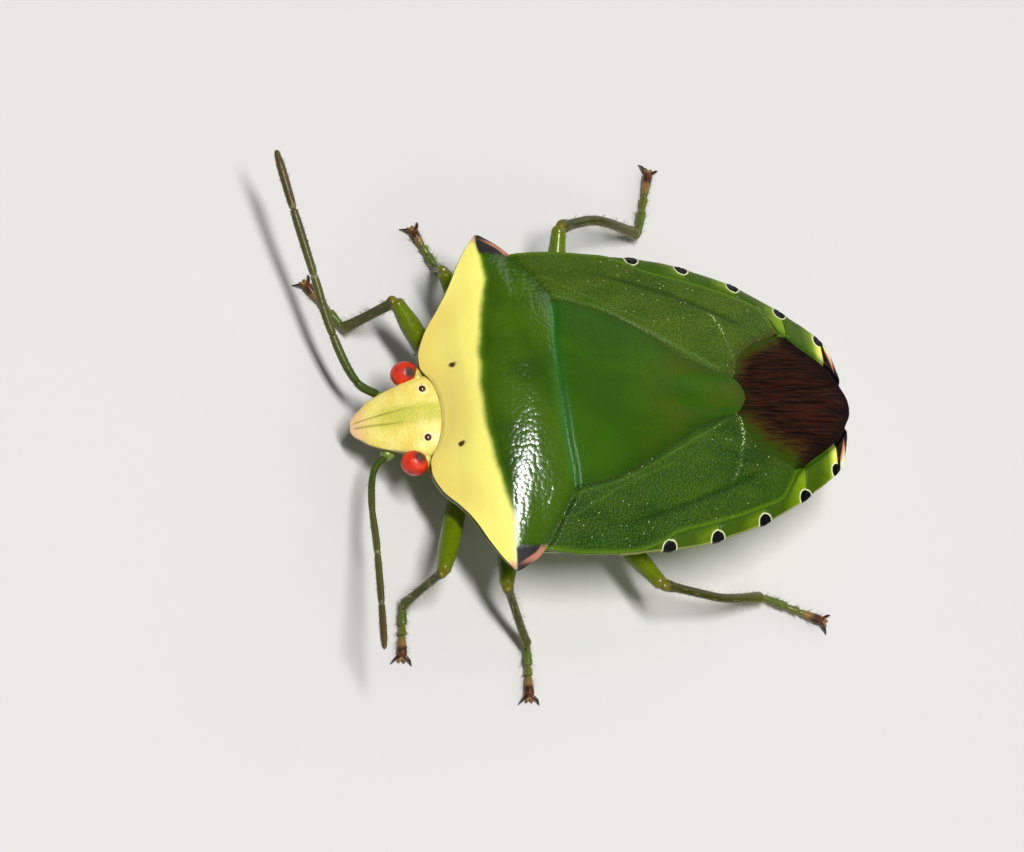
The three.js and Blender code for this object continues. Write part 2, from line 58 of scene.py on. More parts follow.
# Measures of the bug are in millimetres: X to its left from the middle, Y from the head's
# tip towards the tail, Z up from the floor. MM and ORIGIN turn them into the frame's metres.
MM = 0.001
MEDIAN = sum(corner.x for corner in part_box("scutellum")) / 2
HEAD_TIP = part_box("head")[0].y
ORIGIN = Vector((MEDIAN, HEAD_TIP, 0.0))
SEED = 11
CUTICLE_IOR = 1.52
COAT_ROUGHNESS = 0.12

Colour = tuple[float, float, float, float]
Code = str
Socket = bpy.types.NodeSocket
Material = bpy.types.Material
Mesh = bmesh.types.BMesh
Spot = tuple[float, float]
Point = Sequence[float]
Plan = Callable[[float, float], Spot]
Height = Callable[[float, float, float, float], float]


class Side(Enum):
    """The two sides of the bug, each the sign of its X."""

    LEFT = 1
    RIGHT = -1

    @property
    def word(self) -> str:
        """The side's name as the nodes spell it."""
        return self.name.lower()


class Slot(Enum):
    """The record's material slots."""

    HEAD = "yellow_cuticle"
    SHIELD = "shield_green"
    WING = "wing_green"
    MEMBRANE = "membrane_brown"
    RIM = "rim_lime"
    UNDERSIDE = "underside_green"
    LEG = "leg_green"
    ANTENNA = "antenna_olive"
    EYE = "eye_red"


def to_frame(x: float, y: float, z: float) -> Vector:
    """Turn a point of the bug into the frame's metres."""
    return ORIGIN + Vector((x, y, z)) * MM


def lerp(low: float, high: float, share: float) -> float:
    """Blend two numbers."""
    return low + (high - low) * share


def clamp(value: float, low: float = 0.0, high: float = 1.0) -> float:
    """Keep a number within its bounds."""
    return max(low, min(high, value))


def bell(distance: float, width: float) -> float:
    """A smooth bump, 1 at the middle and near 0 two widths away."""
    return math.exp(-((distance / width) ** 2))


def apart(x: float, y: float, place: Point) -> float:
    """Distance on the plan from a place or its twin on the other side."""
    return math.dist((abs(x), y), place)


def smooth(share: float) -> float:
    """Ease a share from 0 to 1, held beyond both."""
    share = clamp(share)
    return share * share * (3 - 2 * share)


def eased(share: float, amount: float) -> float:
    """Crowd evenly spaced shares towards both ends.

    Args:
        share: A place from 0 to 1.
        amount: 0 leaves it alone, 1 crowds it as a half cosine does.

    Returns:
        The moved place, from 0 to 1.
    """
    return lerp(share, 0.5 - 0.5 * math.cos(math.pi * share), amount)


def srgb(code: Code) -> Colour:
    """Turn a screen colour's code, such as "e8dc58", into the shader's linear values."""
    levels = [int(code[i : i + 2], 16) / 255 for i in (0, 2, 4)]
    linear = [c / 12.92 if c <= 0.04045 else ((c + 0.055) / 1.055) ** 2.4 for c in levels]
    return (linear[0], linear[1], linear[2], 1.0)


class Profile:
    """A smooth curve through (station, value) stops that never overshoots them."""

    def __init__(self, *stops: tuple[float, float]) -> None:
        """Store the stops and the slope at each."""
        self.stations = [station for station, _ in stops]
        self.values = [value for _, value in stops]
        rises = [(b[1] - a[1]) / (b[0] - a[0]) for a, b in pairwise(stops)]
        inner = [2 * a * b / (a + b) if a * b > 0 else 0.0 for a, b in pairwise(rises)]
        self.slopes = [rises[0], *inner, rises[-1]]

    def __call__(self, station: float) -> float:
        """Read the curve, level beyond its ends.

        Args:
            station: The place to read it at.

        Returns:
            The value there.
        """
        station = clamp(station, self.stations[0], self.stations[-1])
        i = min(bisect_right(self.stations, station), len(self.stations) - 1) - 1
        span = self.stations[i + 1] - self.stations[i]
        t = (station - self.stations[i]) / span
        rise = self.values[i + 1] - self.values[i]
        start, end = self.slopes[i] * span, self.slopes[i + 1] * span
        bend = t * t * (3 * rise - 2 * start - end) + t**3 * (start + end - 2 * rise)
        return self.values[i] + t * start + bend


class Path:
    """A smooth curve through points in millimetres, read by the share of its length."""

    def __init__(self, points: Sequence[Point]) -> None:
        """Measure the chords and lay a profile over each axis."""
        lengths = [0.0]
        for a, b in pairwise(points):
            lengths.append(lengths[-1] + math.dist(a, b))
        self.length = lengths[-1]
        shares = [length / self.length for length in lengths]
        self.axes = [Profile(*zip(shares, axis)) for axis in zip(*points)]

    def point(self, share: float) -> Vector:
        """The point at a share of the length."""
        return Vector([axis(share) for axis in self.axes])

    def tangent(self, share: float) -> Vector:
        """The unit direction at a share of the length."""
        step = 0.01
        ahead = self.point(min(1.0, share + step))
        return (ahead - self.point(max(0.0, share - step))).normalized()


@dataclass(frozen=True)
class BodyPlan:
    """Outlines and heights of the whole bug, shared by all its plates."""

    seam: float = 0.035
    tuck: float = 0.16
    plate: float = 0.5
    round_power: float = 2.2
    spine_tip: float = 6.85
    scutellum_apex: float = 14.97
    corium_apex: float = 17.05
    waist: float = 8.8
    tail: float = 19.62
    segment_ends: tuple[float, ...] = (11.34, 13.4, 15.48, 17.37, 18.91)
    segment_bow: float = 0.03
    pronotum_dot: Spot = (1.62, 3.52)
    ocellus: Spot = (0.99, 2.56)
    mid_height: Profile = Profile(
        (2.6, 3.3), (3.3, 4.0), (3.9, 4.85), (4.5, 5.4), (5.2, 5.75), (6.2, 6.02), (7.1, 6.08),
        (9, 5.98), (12, 5.68), (15, 5.38), (17, 5.0), (19, 4.5), (20, 4.15),
    )
    rim_height: Profile = Profile(
        (2.6, 3.27), (3.3, 4.0), (3.62, 4.29), (4.1, 4.5), (4.95, 4.7), (6.3, 4.75), (10, 4.65),
        (15, 4.6), (17, 4.5), (19, 4.4), (20, 4.13),
    )
    keel_height: Profile = Profile(
        (2.6, 1.75), (4, 1.5), (8.7, 1.4), (11, 1.2), (14, 1.45), (17, 2.3), (19, 3.2), (20, 3.75),
    )
    half_width: Profile = Profile(
        (2.6, 2.3), (2.85, 3.2), (3.3, 3.96), (3.8, 4.87), (4.6, 6.4), (4.95, 6.85), (5.5, 6.65),
        (6.1, 6.25), (8, 6.2), (10, 6.14), (12.45, 5.9), (13.75, 5.55), (15, 5.15), (16.8, 4.27),
        (17.8, 3.62), (18.4, 3.22), (19.2, 2.4), (19.62, 1.25), (19.85, 0.55), (20, 0.2),
    )
    pronotum_front: Profile = Profile(
        (0, 3.13), (0.5, 3.1), (1.0, 3.0), (1.4, 2.86), (1.7, 2.7), (2.0, 2.6), (2.3, 2.6),
        (3.2, 2.85), (3.96, 3.3), (4.87, 3.8), (5.57, 4.13), (6.4, 4.6), (6.85, 4.93),
    )
    pronotum_rear: Profile = Profile(
        (0, 7.1), (2, 7.2), (3.3, 7.38), (3.87, 7.4), (4.5, 7.1), (5.2, 6.7), (5.9, 6.3),
        (6.3, 6.0), (6.65, 5.5), (6.85, 5.15),
    )
    scutellum_side: Profile = Profile(
        (7.3, 3.84), (8.68, 3.57), (10.1, 3.0), (11.5, 2.18), (12.9, 1.3), (13.85, 0.9),
        (14.3, 0.82), (14.67, 0.62), (14.85, 0.4), (14.97, 0.16),
    )
    wing_edge: Profile = Profile(
        (6.2, 6.02), (8, 6.18), (10, 6.1), (11, 5.8), (11.7, 5.42), (13, 5.1), (14.3, 4.75),
        (15.4, 4.38), (16.3, 4.0), (16.8, 3.3), (17.1, 2.85), (17.8, 2.4), (18.6, 1.85),
        (19.2, 1.35), (19.6, 0.8), (19.85, 0.3),
    )
    suture: Profile = Profile(
        (0.66, 14.65), (1.2, 14.78), (1.6, 14.98), (2.15, 15.6), (2.85, 17.05),
    )
    membrane_front: Profile = Profile(
        (0, 15.02), (0.4, 14.95), (0.66, 14.74), (1.2, 14.84), (1.6, 15.04), (2.1, 15.6),
        (2.7, 16.85),
    )
    membrane_rear: Profile = Profile(
        (0, 19.86), (0.3, 19.82), (0.75, 19.58), (1.3, 19.2), (1.8, 18.62), (2.35, 17.8),
        (2.7, 17.35),
    )

    def back(self, x: float, y: float) -> float:
        """Height of the back at a place."""
        share = min(abs(x) / self.half_width(y), 1.0)
        middle = self.mid_height(y)
        return middle - (middle - self.rim_height(y)) * share**self.round_power

    def under_pronotum(self, x: float, y: float) -> float:
        """How much lower a plate lies as it slips under the pronotum's rear edge."""
        return 0.11 * (1 - smooth((y - self.pronotum_rear(abs(x))) / 0.3))

    def segment_share(self, y: float, front: float) -> float:
        """How far along its segment of the abdomen a station lies.

        Args:
            y: The station.
            front: Where the first segment starts.

        Returns:
            0 at the segment's front, up to 1 at its end.
        """
        stops = [front, *self.segment_ends, self.tail + 0.5]
        i = min(max(bisect_right(stops, y), 1), len(stops) - 1)
        return clamp((y - stops[i - 1]) / (stops[i] - stops[i - 1]))


PLAN = BodyPlan()


class Wave:
    """A number at each point of a surface, which plain arithmetic works on."""

    def __init__(self, graph: "Graph", socket: Socket) -> None:
        """Keep the socket that gives the number."""
        self.graph = graph
        self.socket = socket

    def __add__(self, other: "Value") -> "Wave":
        """The sum."""
        return self.graph.math("ADD", self, other)

    def __sub__(self, other: "Value") -> "Wave":
        """The difference."""
        return self.graph.math("SUBTRACT", self, other)

    def __rsub__(self, other: float) -> "Wave":
        """A plain number less this one."""
        return self.graph.math("SUBTRACT", other, self)

    def __mul__(self, other: "Value") -> "Wave":
        """The product, which for two masks is where both hold."""
        return self.graph.math("MULTIPLY", self, other)

    def __truediv__(self, other: "Value") -> "Wave":
        """The quotient."""
        return self.graph.math("DIVIDE", self, other)

    def step(self, low: float, high: float, start: float = 0.0, end: float = 1.0) -> "Wave":
        """Ease from start to end as this number passes from low to high."""
        node = self.graph.add("ShaderNodeMapRange", interpolation_type="SMOOTHSTEP")
        return Wave(self.graph, self.graph.fill(node, self, low, high, start, end).outputs[0])


Value = Wave | float
Paint = Socket | Code


class Graph:
    """Builds one material's nodes around a single principled shader."""

    def __init__(self, name: str) -> None:
        """Start a material with its body coordinates, in millimetres."""
        self.material = bpy.data.materials.new(name)
        self.material.use_nodes = True
        self.nodes = self.material.node_tree.nodes
        self.shader = self.nodes["Principled BSDF"]
        self.colour: Paint = "ffffff"
        place = self.add("ShaderNodeTexCoord").outputs["Object"]
        moved = self.vector("SUBTRACT", place, tuple(ORIGIN))
        self.body = self.vector("MULTIPLY", moved, (1 / MM, 1 / MM, 1 / MM))
        split = self.fill(self.add("ShaderNodeSeparateXYZ"), self.body)
        self.x, self.y, self.z = (Wave(self, socket) for socket in split.outputs)
        self.width = self.math("ABSOLUTE", self.x)
        self.flat = self.stretched(1.0, 1.0, 0.0)

    def add(self, kind: str, **settings: object) -> bpy.types.Node:
        """Add a node and set its properties."""
        node = self.nodes.new(kind)
        for name, value in settings.items():
            setattr(node, name, value)
        return node

    def put(self, socket: Socket, value: object) -> None:
        """Link a socket to another, or set its value."""
        value = value.socket if isinstance(value, Wave) else value
        if isinstance(value, Socket):
            self.material.node_tree.links.new(value, socket)
        else:
            socket.default_value = srgb(value) if isinstance(value, Code) else value

    def fill(self, node: bpy.types.Node, *values: object, **named: object) -> bpy.types.Node:
        """Set a node's inputs, the first ones in order and others by name."""
        for socket, value in zip(node.inputs, values):
            self.put(socket, value)
        for name, value in named.items():
            self.put(node.inputs[name.replace("_", " ")], value)
        return node

    def vector(self, operation: str, a: Socket, b: object) -> Socket:
        """An operation on two vectors."""
        node = self.add("ShaderNodeVectorMath", operation=operation)
        return self.fill(node, a, b).outputs["Vector"]

    def math(self, operation: str, a: Value, b: Value = 0.0) -> Wave:
        """An operation on one or two numbers."""
        node = self.add("ShaderNodeMath", operation=operation)
        return Wave(self, self.fill(node, a, b).outputs[0])

    def mix(self, factor: Value, a: Paint, b: Paint) -> Socket:
        """Blend two colours."""
        node = self.add("ShaderNodeMix", data_type="RGBA")
        for index, value in ((0, factor), (6, a), (7, b)):
            self.put(node.inputs[index], value)
        return node.outputs[2]

    def paint(self, mask: Value, colour: Paint) -> None:
        """Lay a colour over the surface where a mask holds."""
        self.colour = self.mix(mask, self.colour, colour)

    def stops(self, value: Value, colours: Sequence[tuple[float, Code]]) -> Socket:
        """Read a colour from a row of stops."""
        node = self.fill(self.add("ShaderNodeValToRGB"), value)
        ramp = node.color_ramp
        ramp.interpolation = "EASE"
        while len(ramp.elements) < len(colours):
            ramp.elements.new(0.5)
        for element, (place, code) in zip(ramp.elements, colours):
            element.position, element.color = place, srgb(code)
        return node.outputs[0]

    def stretched(self, x: float, y: float, z: float) -> Socket:
        """The body coordinates scaled by a factor along each axis."""
        return self.vector("MULTIPLY", self.body, (x, y, z))

    def spread(self, across: float, along: float) -> Socket:
        """The piece's own across and along coordinates, each scaled."""
        uv = self.add("ShaderNodeUVMap", uv_map="Plate").outputs[0]
        return self.vector("MULTIPLY", uv, (across, along, 1.0))

    def noise(
        self, scale: float, place: Socket | None = None, detail: float = 3.0, twist: float = 0.0
    ) -> Wave:
        """Cloudy variation from 0 to 1, over the body unless another place is given."""
        node = self.add("ShaderNodeTexNoise")
        self.fill(node, Vector=place or self.body, Scale=scale, Detail=detail, Distortion=twist)
        return Wave(self, node.outputs[0])

    def cells(self, scale: float, feature: str = "F1") -> Wave:
        """Distance to the nearest of a scatter of points in the body's space."""
        node = self.add("ShaderNodeTexVoronoi", feature=feature)
        return Wave(self, self.fill(node, Vector=self.body, Scale=scale).outputs["Distance"])

    def dots(self, scale: float) -> Wave:
        """Distance on the plan to the nearest of a scatter of points."""
        node = self.add("ShaderNodeTexVoronoi", voronoi_dimensions="2D")
        return Wave(self, self.fill(node, Vector=self.flat, Scale=scale).outputs["Distance"])

    def pits(self, scale: float, outer: float, inner: float) -> Wave:
        """Round pits scattered over the plan, 1 at the bottom of each.

        Args:
            scale: How many lie along a millimetre.
            outer: Where a pit begins, as a share of their spacing.
            inner: Where its floor begins.

        Returns:
            The depth from 0 to 1.
        """
        return self.dots(scale).step(outer, inner)

    def domes(self, scale: float) -> Wave:
        """Small round swellings packed over the plan, 1 at the top of each."""
        distance = self.dots(scale)
        return 1.0 - distance * distance

    def mark(self, name: str) -> Wave:
        """A number that the piece's own mesh carries."""
        return Wave(self, self.add("ShaderNodeAttribute", attribute_name=name).outputs["Fac"])

    def near(self, x: float, y: float) -> Wave:
        """Distance in plan from a spot and its twin on the other side."""
        flat = self.fill(self.add("ShaderNodeCombineXYZ"), self.width, self.y)
        node = self.add("ShaderNodeVectorMath", operation="DISTANCE")
        return Wave(self, self.fill(node, flat.outputs[0], (x, y, 0.0)).outputs["Value"])

    def least(self, waves: Iterable[Wave]) -> Wave:
        """The lowest of several numbers."""
        return reduce(partial(self.math, "MINIMUM"), waves)

    def relief(self, height: Wave, depth: float, below: Socket | None = None) -> Socket:
        """Turn a height into a bump of a real depth.

        Args:
            height: The height, from 0 to 1.
            depth: What 1 stands for, in millimetres.
            below: A coarser bump that this one lies on.

        Returns:
            The bumped normal.
        """
        node = self.add("ShaderNodeBump")
        self.fill(node, Strength=1.0, Distance=depth * MM, Height=height)
        if below is not None:
            self.put(node.inputs["Normal"], below)
        return node.outputs[0]

    def finish(
        self, rough: Value, relief: Socket, shine: float = 0.5, coat: float = 0.0,
    ) -> Material:
        """Join the colour and the rest to the shader.

        Args:
            rough: The roughness.
            relief: The bumped normal.
            shine: The strength of the reflection.
            coat: The weight of a clear coat.

        Returns:
            The finished material.
        """
        self.fill(
            self.shader, self.colour, Roughness=rough, Normal=relief, IOR=CUTICLE_IOR,
            Specular_IOR_Level=shine, Coat_Weight=coat, Coat_Roughness=COAT_ROUGHNESS,
            Coat_Normal=relief,
        )
        return self.material


@dataclass(frozen=True)
class ShieldFinish:
    """Pronotum: a lemon front crescent with pink spine tips, and glossy pitted green behind."""

    lemon: Code = "fbf27a"
    warm: Code = "f4de70"
    tan: Code = "a8955a"
    pink: Code = "e4ac84"
    green: Code = "3c5c02"
    dark_green: Code = "264602"
    fresh: Code = "688e04"
    teal: Code = "1c7030"
    black: Code = "0c0806"
    rust: Code = "b0745a"
    margin: Code = "2a3008"
    below: Code = "8aa040"
    dot: Code = "3a2408"
    wax: float = 0.42
    gloss: float = 0.18
    pits_per_mm: float = 4.2
    beads_per_mm: float = 5.4
    bead_height: float = 0.01
    swell_height: float = 0.02

    def build(self) -> Material:
        """Make the material."""
        g = Graph("pronotum cuticle")
        cloud, fine = g.noise(1.1), g.noise(5.0)
        rear, front, under = g.mark("rear"), g.mark("front"), g.mark("under")
        border = g.math("MINIMUM", g.width * g.width * 0.031 + 4.22, 4.93)
        past = g.y + (cloud - 0.5) * 0.22 - border
        g.colour = g.mix(g.noise(0.5).step(0.35, 0.75), self.green, self.dark_green)
        g.paint(past.step(0.3, 0.0, 0.0, 0.5), self.fresh)
        g.paint(rear.step(0.4, 0.0, 0.0, 0.35) * g.width.step(3.9, 3.2), self.teal)
        g.paint(rear.step(0.4, 0.05) * g.width.step(3.4, 4.0) * 0.7, self.dark_green)
        green = g.colour
        g.colour = g.mix(front.step(1.3, 0.1) * g.width.step(5.2, 3.4), self.lemon, self.warm)
        g.paint(fine.step(0.5, 0.8, 0.0, 0.3), self.warm)
        g.paint(front.step(0.14, 0.0) * g.width.step(1.9, 1.2) * 0.55, self.tan)
        g.paint(g.width.step(6.35, 6.75), self.pink)
        g.paint((g.near(*PLAN.pronotum_dot) + (fine - 0.5) * 0.16).step(0.13, 0.06), self.dot)
        behind = past.step(-0.12, 0.14)
        g.paint(behind, green)
        hollow = (g.width + (fine - 0.5) * 0.3).step(5.85, 6.1) * past.step(-0.02, 0.08)
        lip = rear.step(0.27, 0.17) * g.width.step(6.75, 6.4)
        g.paint(hollow, g.mix(lip, self.black, self.rust))
        # Painted shade: the plate's wall is painted dark green-brown, and its lower face is pale
        # green.
        g.paint(under.step(0.0, 0.25), g.mix(under.step(0.6, 0.95), self.margin, self.below))
        pits = g.pits(self.pits_per_mm, 0.3, 0.08)
        pits *= past.step(-0.1, 0.5, 0.1, 1.0) * (1.0 - hollow)
        g.paint(pits * 0.25, g.mix(behind, self.warm, self.dark_green))
        beads = g.domes(self.beads_per_mm) * past.step(-0.1, 0.4, 0.1, 1.0)
        swell = g.relief(g.noise(1.6, detail=1.0), self.swell_height)
        rough = g.math("MAXIMUM", past.step(-0.1, 0.3, self.wax, self.gloss), hollow * 0.7)
        return g.finish(rough, g.relief(beads - pits * 0.2, self.bead_height, swell))


@dataclass(frozen=True)
class ScutellumFinish:
    """Scutellum: smooth deep green, browner towards the tip, with fine shallow pits."""

    green: Code = "284c00"
    bright: Code = "2e5600"
    brown: Code = "424c04"
    dark: Code = "1c3a00"
    teal: Code = "1c7030"
    rough: float = 0.32
    shine: float = 0.12
    pits_per_mm: float = 4.2
    relief_height: float = 0.012

    def build(self) -> Material:
        """Make the material."""
        g = Graph("scutellum cuticle")
        cloud = g.noise(0.5, g.stretched(1.0, 0.6, 1.0), twist=0.6)
        g.colour = g.mix(cloud.step(0.38, 0.62), self.green, self.bright)
        blotch = g.noise(0.55, g.stretched(1.3, 0.8, 1.0)).step(0.42, 0.66)
        g.paint(g.y.step(9.5, 13.0) * blotch * 0.8, self.brown)
        g.paint(g.mark("rim").step(0.6, 0.0, 0.0, 0.45), self.dark)
        g.paint(g.mark("front").step(0.65, 0.15, 0.0, 0.35), self.teal)
        pits = g.pits(self.pits_per_mm, 0.26, 0.08)
        g.paint(pits * 0.2, self.dark)
        g.paint(g.noise(12.0).step(0.45, 0.9, 0.0, 0.5), self.brown)
        wrinkle = g.noise(1.6, g.stretched(0.5, 2.2, 1.0))
        relief = g.relief(wrinkle * 1.2 - pits * 0.4, self.relief_height)
        return g.finish(self.rough, relief, self.shine)


@dataclass(frozen=True)
class WingFinish:
    """Corium: leathery olive green, dense with dark pits, with painted shade in its folds, a
    painted highlight on the cross ridge, a right wing painted lighter, and a brown end.
    """

    green: Code = "284c02"
    deep: Code = "1c3c00"
    olive: Code = "465c0a"
    pit: Code = "142a00"
    pale: Code = "4e7422"
    lime: Code = "587a0a"
    painted_highlight_and_speck: Code = "e6f0b8"
    brown: Code = "3a240c"
    rough: float = 0.34
    shine: float = 0.12
    pits_per_mm: float = 8.5
    relief_height: float = 0.01

    def build(self) -> Material:
        """Make the material."""
        g = Graph("corium leather")
        cloud = g.noise(0.6, g.stretched(1.2, 0.5, 1.0))
        g.colour = g.mix(cloud.step(0.35, 0.65), self.green, self.deep)
        # Olive in random blotches, and as painted light much more of it on the right wing (x below
        # 0), which is painted lighter than the left.
        olive_blotches = g.noise(1.5, g.stretched(1.0, 0.4, 1.0)).step(0.3, 0.7, -0.25, 0.25)
        g.paint(olive_blotches + g.x.step(1.0, -1.0, 0.2, 0.75), self.olive)
        pits = g.pits(self.pits_per_mm, 0.5, 0.16)
        g.paint(pits * 0.45, self.pit)
        g.paint(g.noise(13.0, detail=1.0).step(0.5, 0.75, 0.0, 0.4), self.pale)
        # Painted shade in the folds, beside the scutellum and behind the pronotum's rear edge.
        g.paint(g.mark("fold") * 0.6, self.pit)
        g.paint(g.mark("vein") * 0.35, self.pale)
        # Painted highlight: pale dashes along the cross ridge, only on the left wing near the
        # middle and on the right wing's outer part.
        left, right = g.x.step(0.2, 0.5) * g.x.step(2.5, 1.9), g.x.step(-2.3, -2.8, 0.15, 0.8)
        lit = g.math("MAXIMUM", left, right)
        g.paint(g.mark("cross") * g.dots(9.0).step(0.34, 0.15) * lit, self.painted_highlight_and_speck)
        # Sparse pale specks in the same colour, scattered where the cloud allows.
        g.paint(g.dots(1.7).step(0.05, 0.025) * cloud.step(0.46, 0.56) * 0.5, self.painted_highlight_and_speck)
        g.paint(g.mark("outer").step(0.2, 0.0, 0.0, 0.7), self.lime)
        fuzz = (g.noise(1.0, g.spread(70.0, 7.0), twist=0.3) - 0.5) * 2.0
        end = (g.mark("rear") + fuzz).step(0.42, 0.0)
        g.paint(end * g.x.step(0.6, -0.6, 0.2, 0.6), self.brown)
        relief = g.relief(g.noise(5.0) * 1.2 - pits, self.relief_height)
        return g.finish(self.rough, relief, self.shine)


@dataclass(frozen=True)
class MembraneFinish:
    """Membrane: dark red-brown film with hair-fine streaks, green where it leaves the corium."""

    black: Code = "0c0504"
    brown: Code = "301206"
    rust: Code = "46240c"
    tan: Code = "3a2a08"
    green: Code = "2a4202"
    rough: Spot = (0.3, 0.4)
    shine: float = 0.05
    relief_height: float = 0.02

    def build(self) -> Material:
        """Make the material."""
        g = Graph("membrane film")
        streak = g.noise(1.0, g.spread(36.0, 2.6), detail=5.0, twist=0.5)
        fine = g.noise(1.0, g.spread(170.0, 6.0), twist=0.4)
        blotch = g.noise(0.9, twist=0.8)
        g.colour = g.mix(streak.step(0.4, 0.62), self.black, self.brown)
        g.paint(fine.step(0.52, 0.72) * blotch.step(0.4, 0.6) * 0.7, self.rust)
        ragged = (g.noise(1.0, g.spread(80.0, 5.0), twist=0.4) - 0.5) * 2.4
        share = g.mark("front") / g.x.step(-0.6, 0.6, 0.45, 1.0) + ragged
        fringe = g.mix(share.step(0.15, 0.8), self.green, self.tan)
        g.paint(share.step(1.35, 0.55) * g.width.step(0.5, 1.2, 0.1, 1.0), fringe)
        g.paint(g.mark("rear").step(0.6, 0.1, 0.0, 0.7), self.black)
        relief = g.relief(streak + fine * 0.6, self.relief_height)
        return g.finish(blotch.step(0.3, 0.7, *self.rough), relief, self.shine)


@dataclass(frozen=True)
class RimFinish:
    """Connexivum: lime, with a black spot edged in cream at each segment's end."""

    lime: Code = "76920a"
    green: Code = "3a5402"
    lemon: Code = "e0e060"
    leather: Code = "2e5002"
    cream: Code = "e8ecb8"
    black: Code = "060404"
    edge: Code = "a8a860"
    orange: Code = "d8703e"
    ring: float = 0.19
    tail: float = 18.9
    rough: float = 0.34
    shine: float = 0.15
    relief_height: float = 0.01

    def build(self) -> Material:
        """Make the material."""
        g = Graph("connexivum cuticle")
        share, outer = g.mark("segment"), g.mark("outer")
        tone = share.step(0.35, 1.0) * g.y.step(9.5, 16.5, 0.5, 1.0)
        g.colour = g.mix(tone - g.noise(1.6).step(0.4, 0.75, 0.0, 0.3), self.green, self.lime)
        g.paint(g.y.step(18.1, 18.75) * share.step(0.7, 0.95), self.lemon)
        g.paint(g.mark("inner").step(0.4, 0.0, 0.0, 0.9), self.leather)
        g.paint(outer.step(0.05, 0.015, 0.0, 0.5), self.edge)
        distance = g.mark("spot") + (g.noise(6.0) - 0.5) * 0.12
        g.paint(distance.step(1.1 + self.ring, 1.08, 0.0, 0.85), self.cream)
        g.paint(distance.step(1.06, 0.98), self.black)
        past = g.y - self.tail
        mark = past.step(0.12, 0.18) * past.step(0.46, 0.38) * outer.step(0.26, 0.2)
        orange = g.mix(outer.step(0.08, 0.2), self.cream, self.orange)
        g.paint(past.step(0.0, 0.06), g.mix(mark, self.black, orange))
        relief = g.relief(g.noise(4.0) - g.pits(5.0, 0.3, 0.1) * 0.6, self.relief_height)
        return g.finish(self.rough, relief, self.shine)


@dataclass(frozen=True)
class HeadFinish:
    """Head: yellow, greener middle lobe between fine dark grooves, painted shade under its edge."""

    yellow: Code = "ecd768"
    pale: Code = "f4e47e"
    green: Code = "b6ba38"
    pink: Code = "efc490"
    groove: Code = "767c30"
    ring: Code = "f2e8a8"
    under: Code = "7d9030"
    dark: Code = "1c0f0a"
    rough: float = 0.34
    shine: float = 0.4
    relief_height: float = 0.009

    def build(self) -> Material:
        """Make the material."""
        g = Graph("head cuticle")
        cloud, fine = g.noise(1.8), g.noise(7.0)
        g.colour = g.mix(cloud.step(0.35, 0.65), self.yellow, self.pale)
        middle = g.width.step(0.6, 0.2) * g.y.step(0.4, 1.3)
        g.paint(middle * cloud.step(0.25, 0.55, 0.25, 0.75), self.green)
        g.paint(fine.step(0.5, 0.8, 0.0, 0.35), self.green)
        g.paint(g.y.step(0.75, 0.1), self.pink)
        g.paint(g.mark("groove") * 0.75, self.groove)
        g.paint(g.near(*PLAN.ocellus).step(0.27, 0.16, 0.0, 0.7), self.ring)
        g.paint(g.mark("below").step(0.02, 0.3), self.under)
        # Painted shade just under the head's edge.
        g.paint(g.mark("brink"), self.dark)
        relief = g.relief(fine * 0.7 - g.pits(6.5, 0.3, 0.1), self.relief_height)
        return g.finish(self.rough, relief, self.shine)


@dataclass(frozen=True)
class EyeFinish:
    """Compound eye: wet orange-red with fine facets, a dark patch behind and a pale lower edge."""

    red: Code = "dc2e06"
    deep: Code = "8c1204"
    patch: Code = "33261f"
    pale: Code = "e8b9a4"
    patch_place: Spot = (1.74, 2.2)
    mid_height: float = 2.76
    rough: float = 0.14
    facets_per_mm: float = 24.0
    facet_depth: float = 0.003

    def build(self) -> Material:
        """Make the material."""
        g = Graph("eye facets")
        g.colour = g.mix(g.noise(2.6).step(0.45, 0.75), self.red, self.deep)
        around = g.near(*self.patch_place)
        g.paint(around.step(0.36, 0.14), self.deep)
        g.paint(around.step(0.22, 0.12), self.patch)
        g.paint((g.width - (g.z - self.mid_height) * 0.8).step(2.32, 2.4, 0.0, 0.8), self.pale)
        facets = g.cells(self.facets_per_mm, "DISTANCE_TO_EDGE").step(0.0, 0.12)
        return g.finish(self.rough, g.relief(facets, self.facet_depth))


@dataclass(frozen=True)
class PlainFinish:
    """A small glossy part of one colour with soft mottling."""

    name: str
    light: Code
    dark: Code
    rough: float = 0.3
    coat: float = 0.4

    def build(self) -> Material:
        """Make the material."""
        g = Graph(self.name)
        cloud = g.noise(6.0)
        g.colour = g.mix(cloud.step(0.35, 0.7), self.light, self.dark)
        return g.finish(self.rough, g.relief(cloud, 0.01), coat=self.coat)


@dataclass(frozen=True)
class LimbFinish:
    """Legs and feelers: colours that follow each limb from its root to its tip."""

    name: str
    colours: Sequence[tuple[float, Code]]
    under: Code
    ridge: float = 0.5
    rough: float = 0.22
    shine: float = 0.35
    mottle: Code = "1d2a08"

    def build(self) -> Material:
        """Make the material."""
        g = Graph(self.name)
        cloud = g.noise(3.2)
        g.colour = g.stops(g.mark("along") + (cloud - 0.5) * 0.02, self.colours)
        g.paint(g.mark("ridge") * self.ridge, self.under)
        g.paint(cloud.step(0.5, 0.8, 0.0, 0.35), self.mottle)
        height = g.cells(8.0).step(0.05, 0.3) + g.noise(7.0) * 0.8
        return g.finish(self.rough, g.relief(height, 0.012), self.shine)


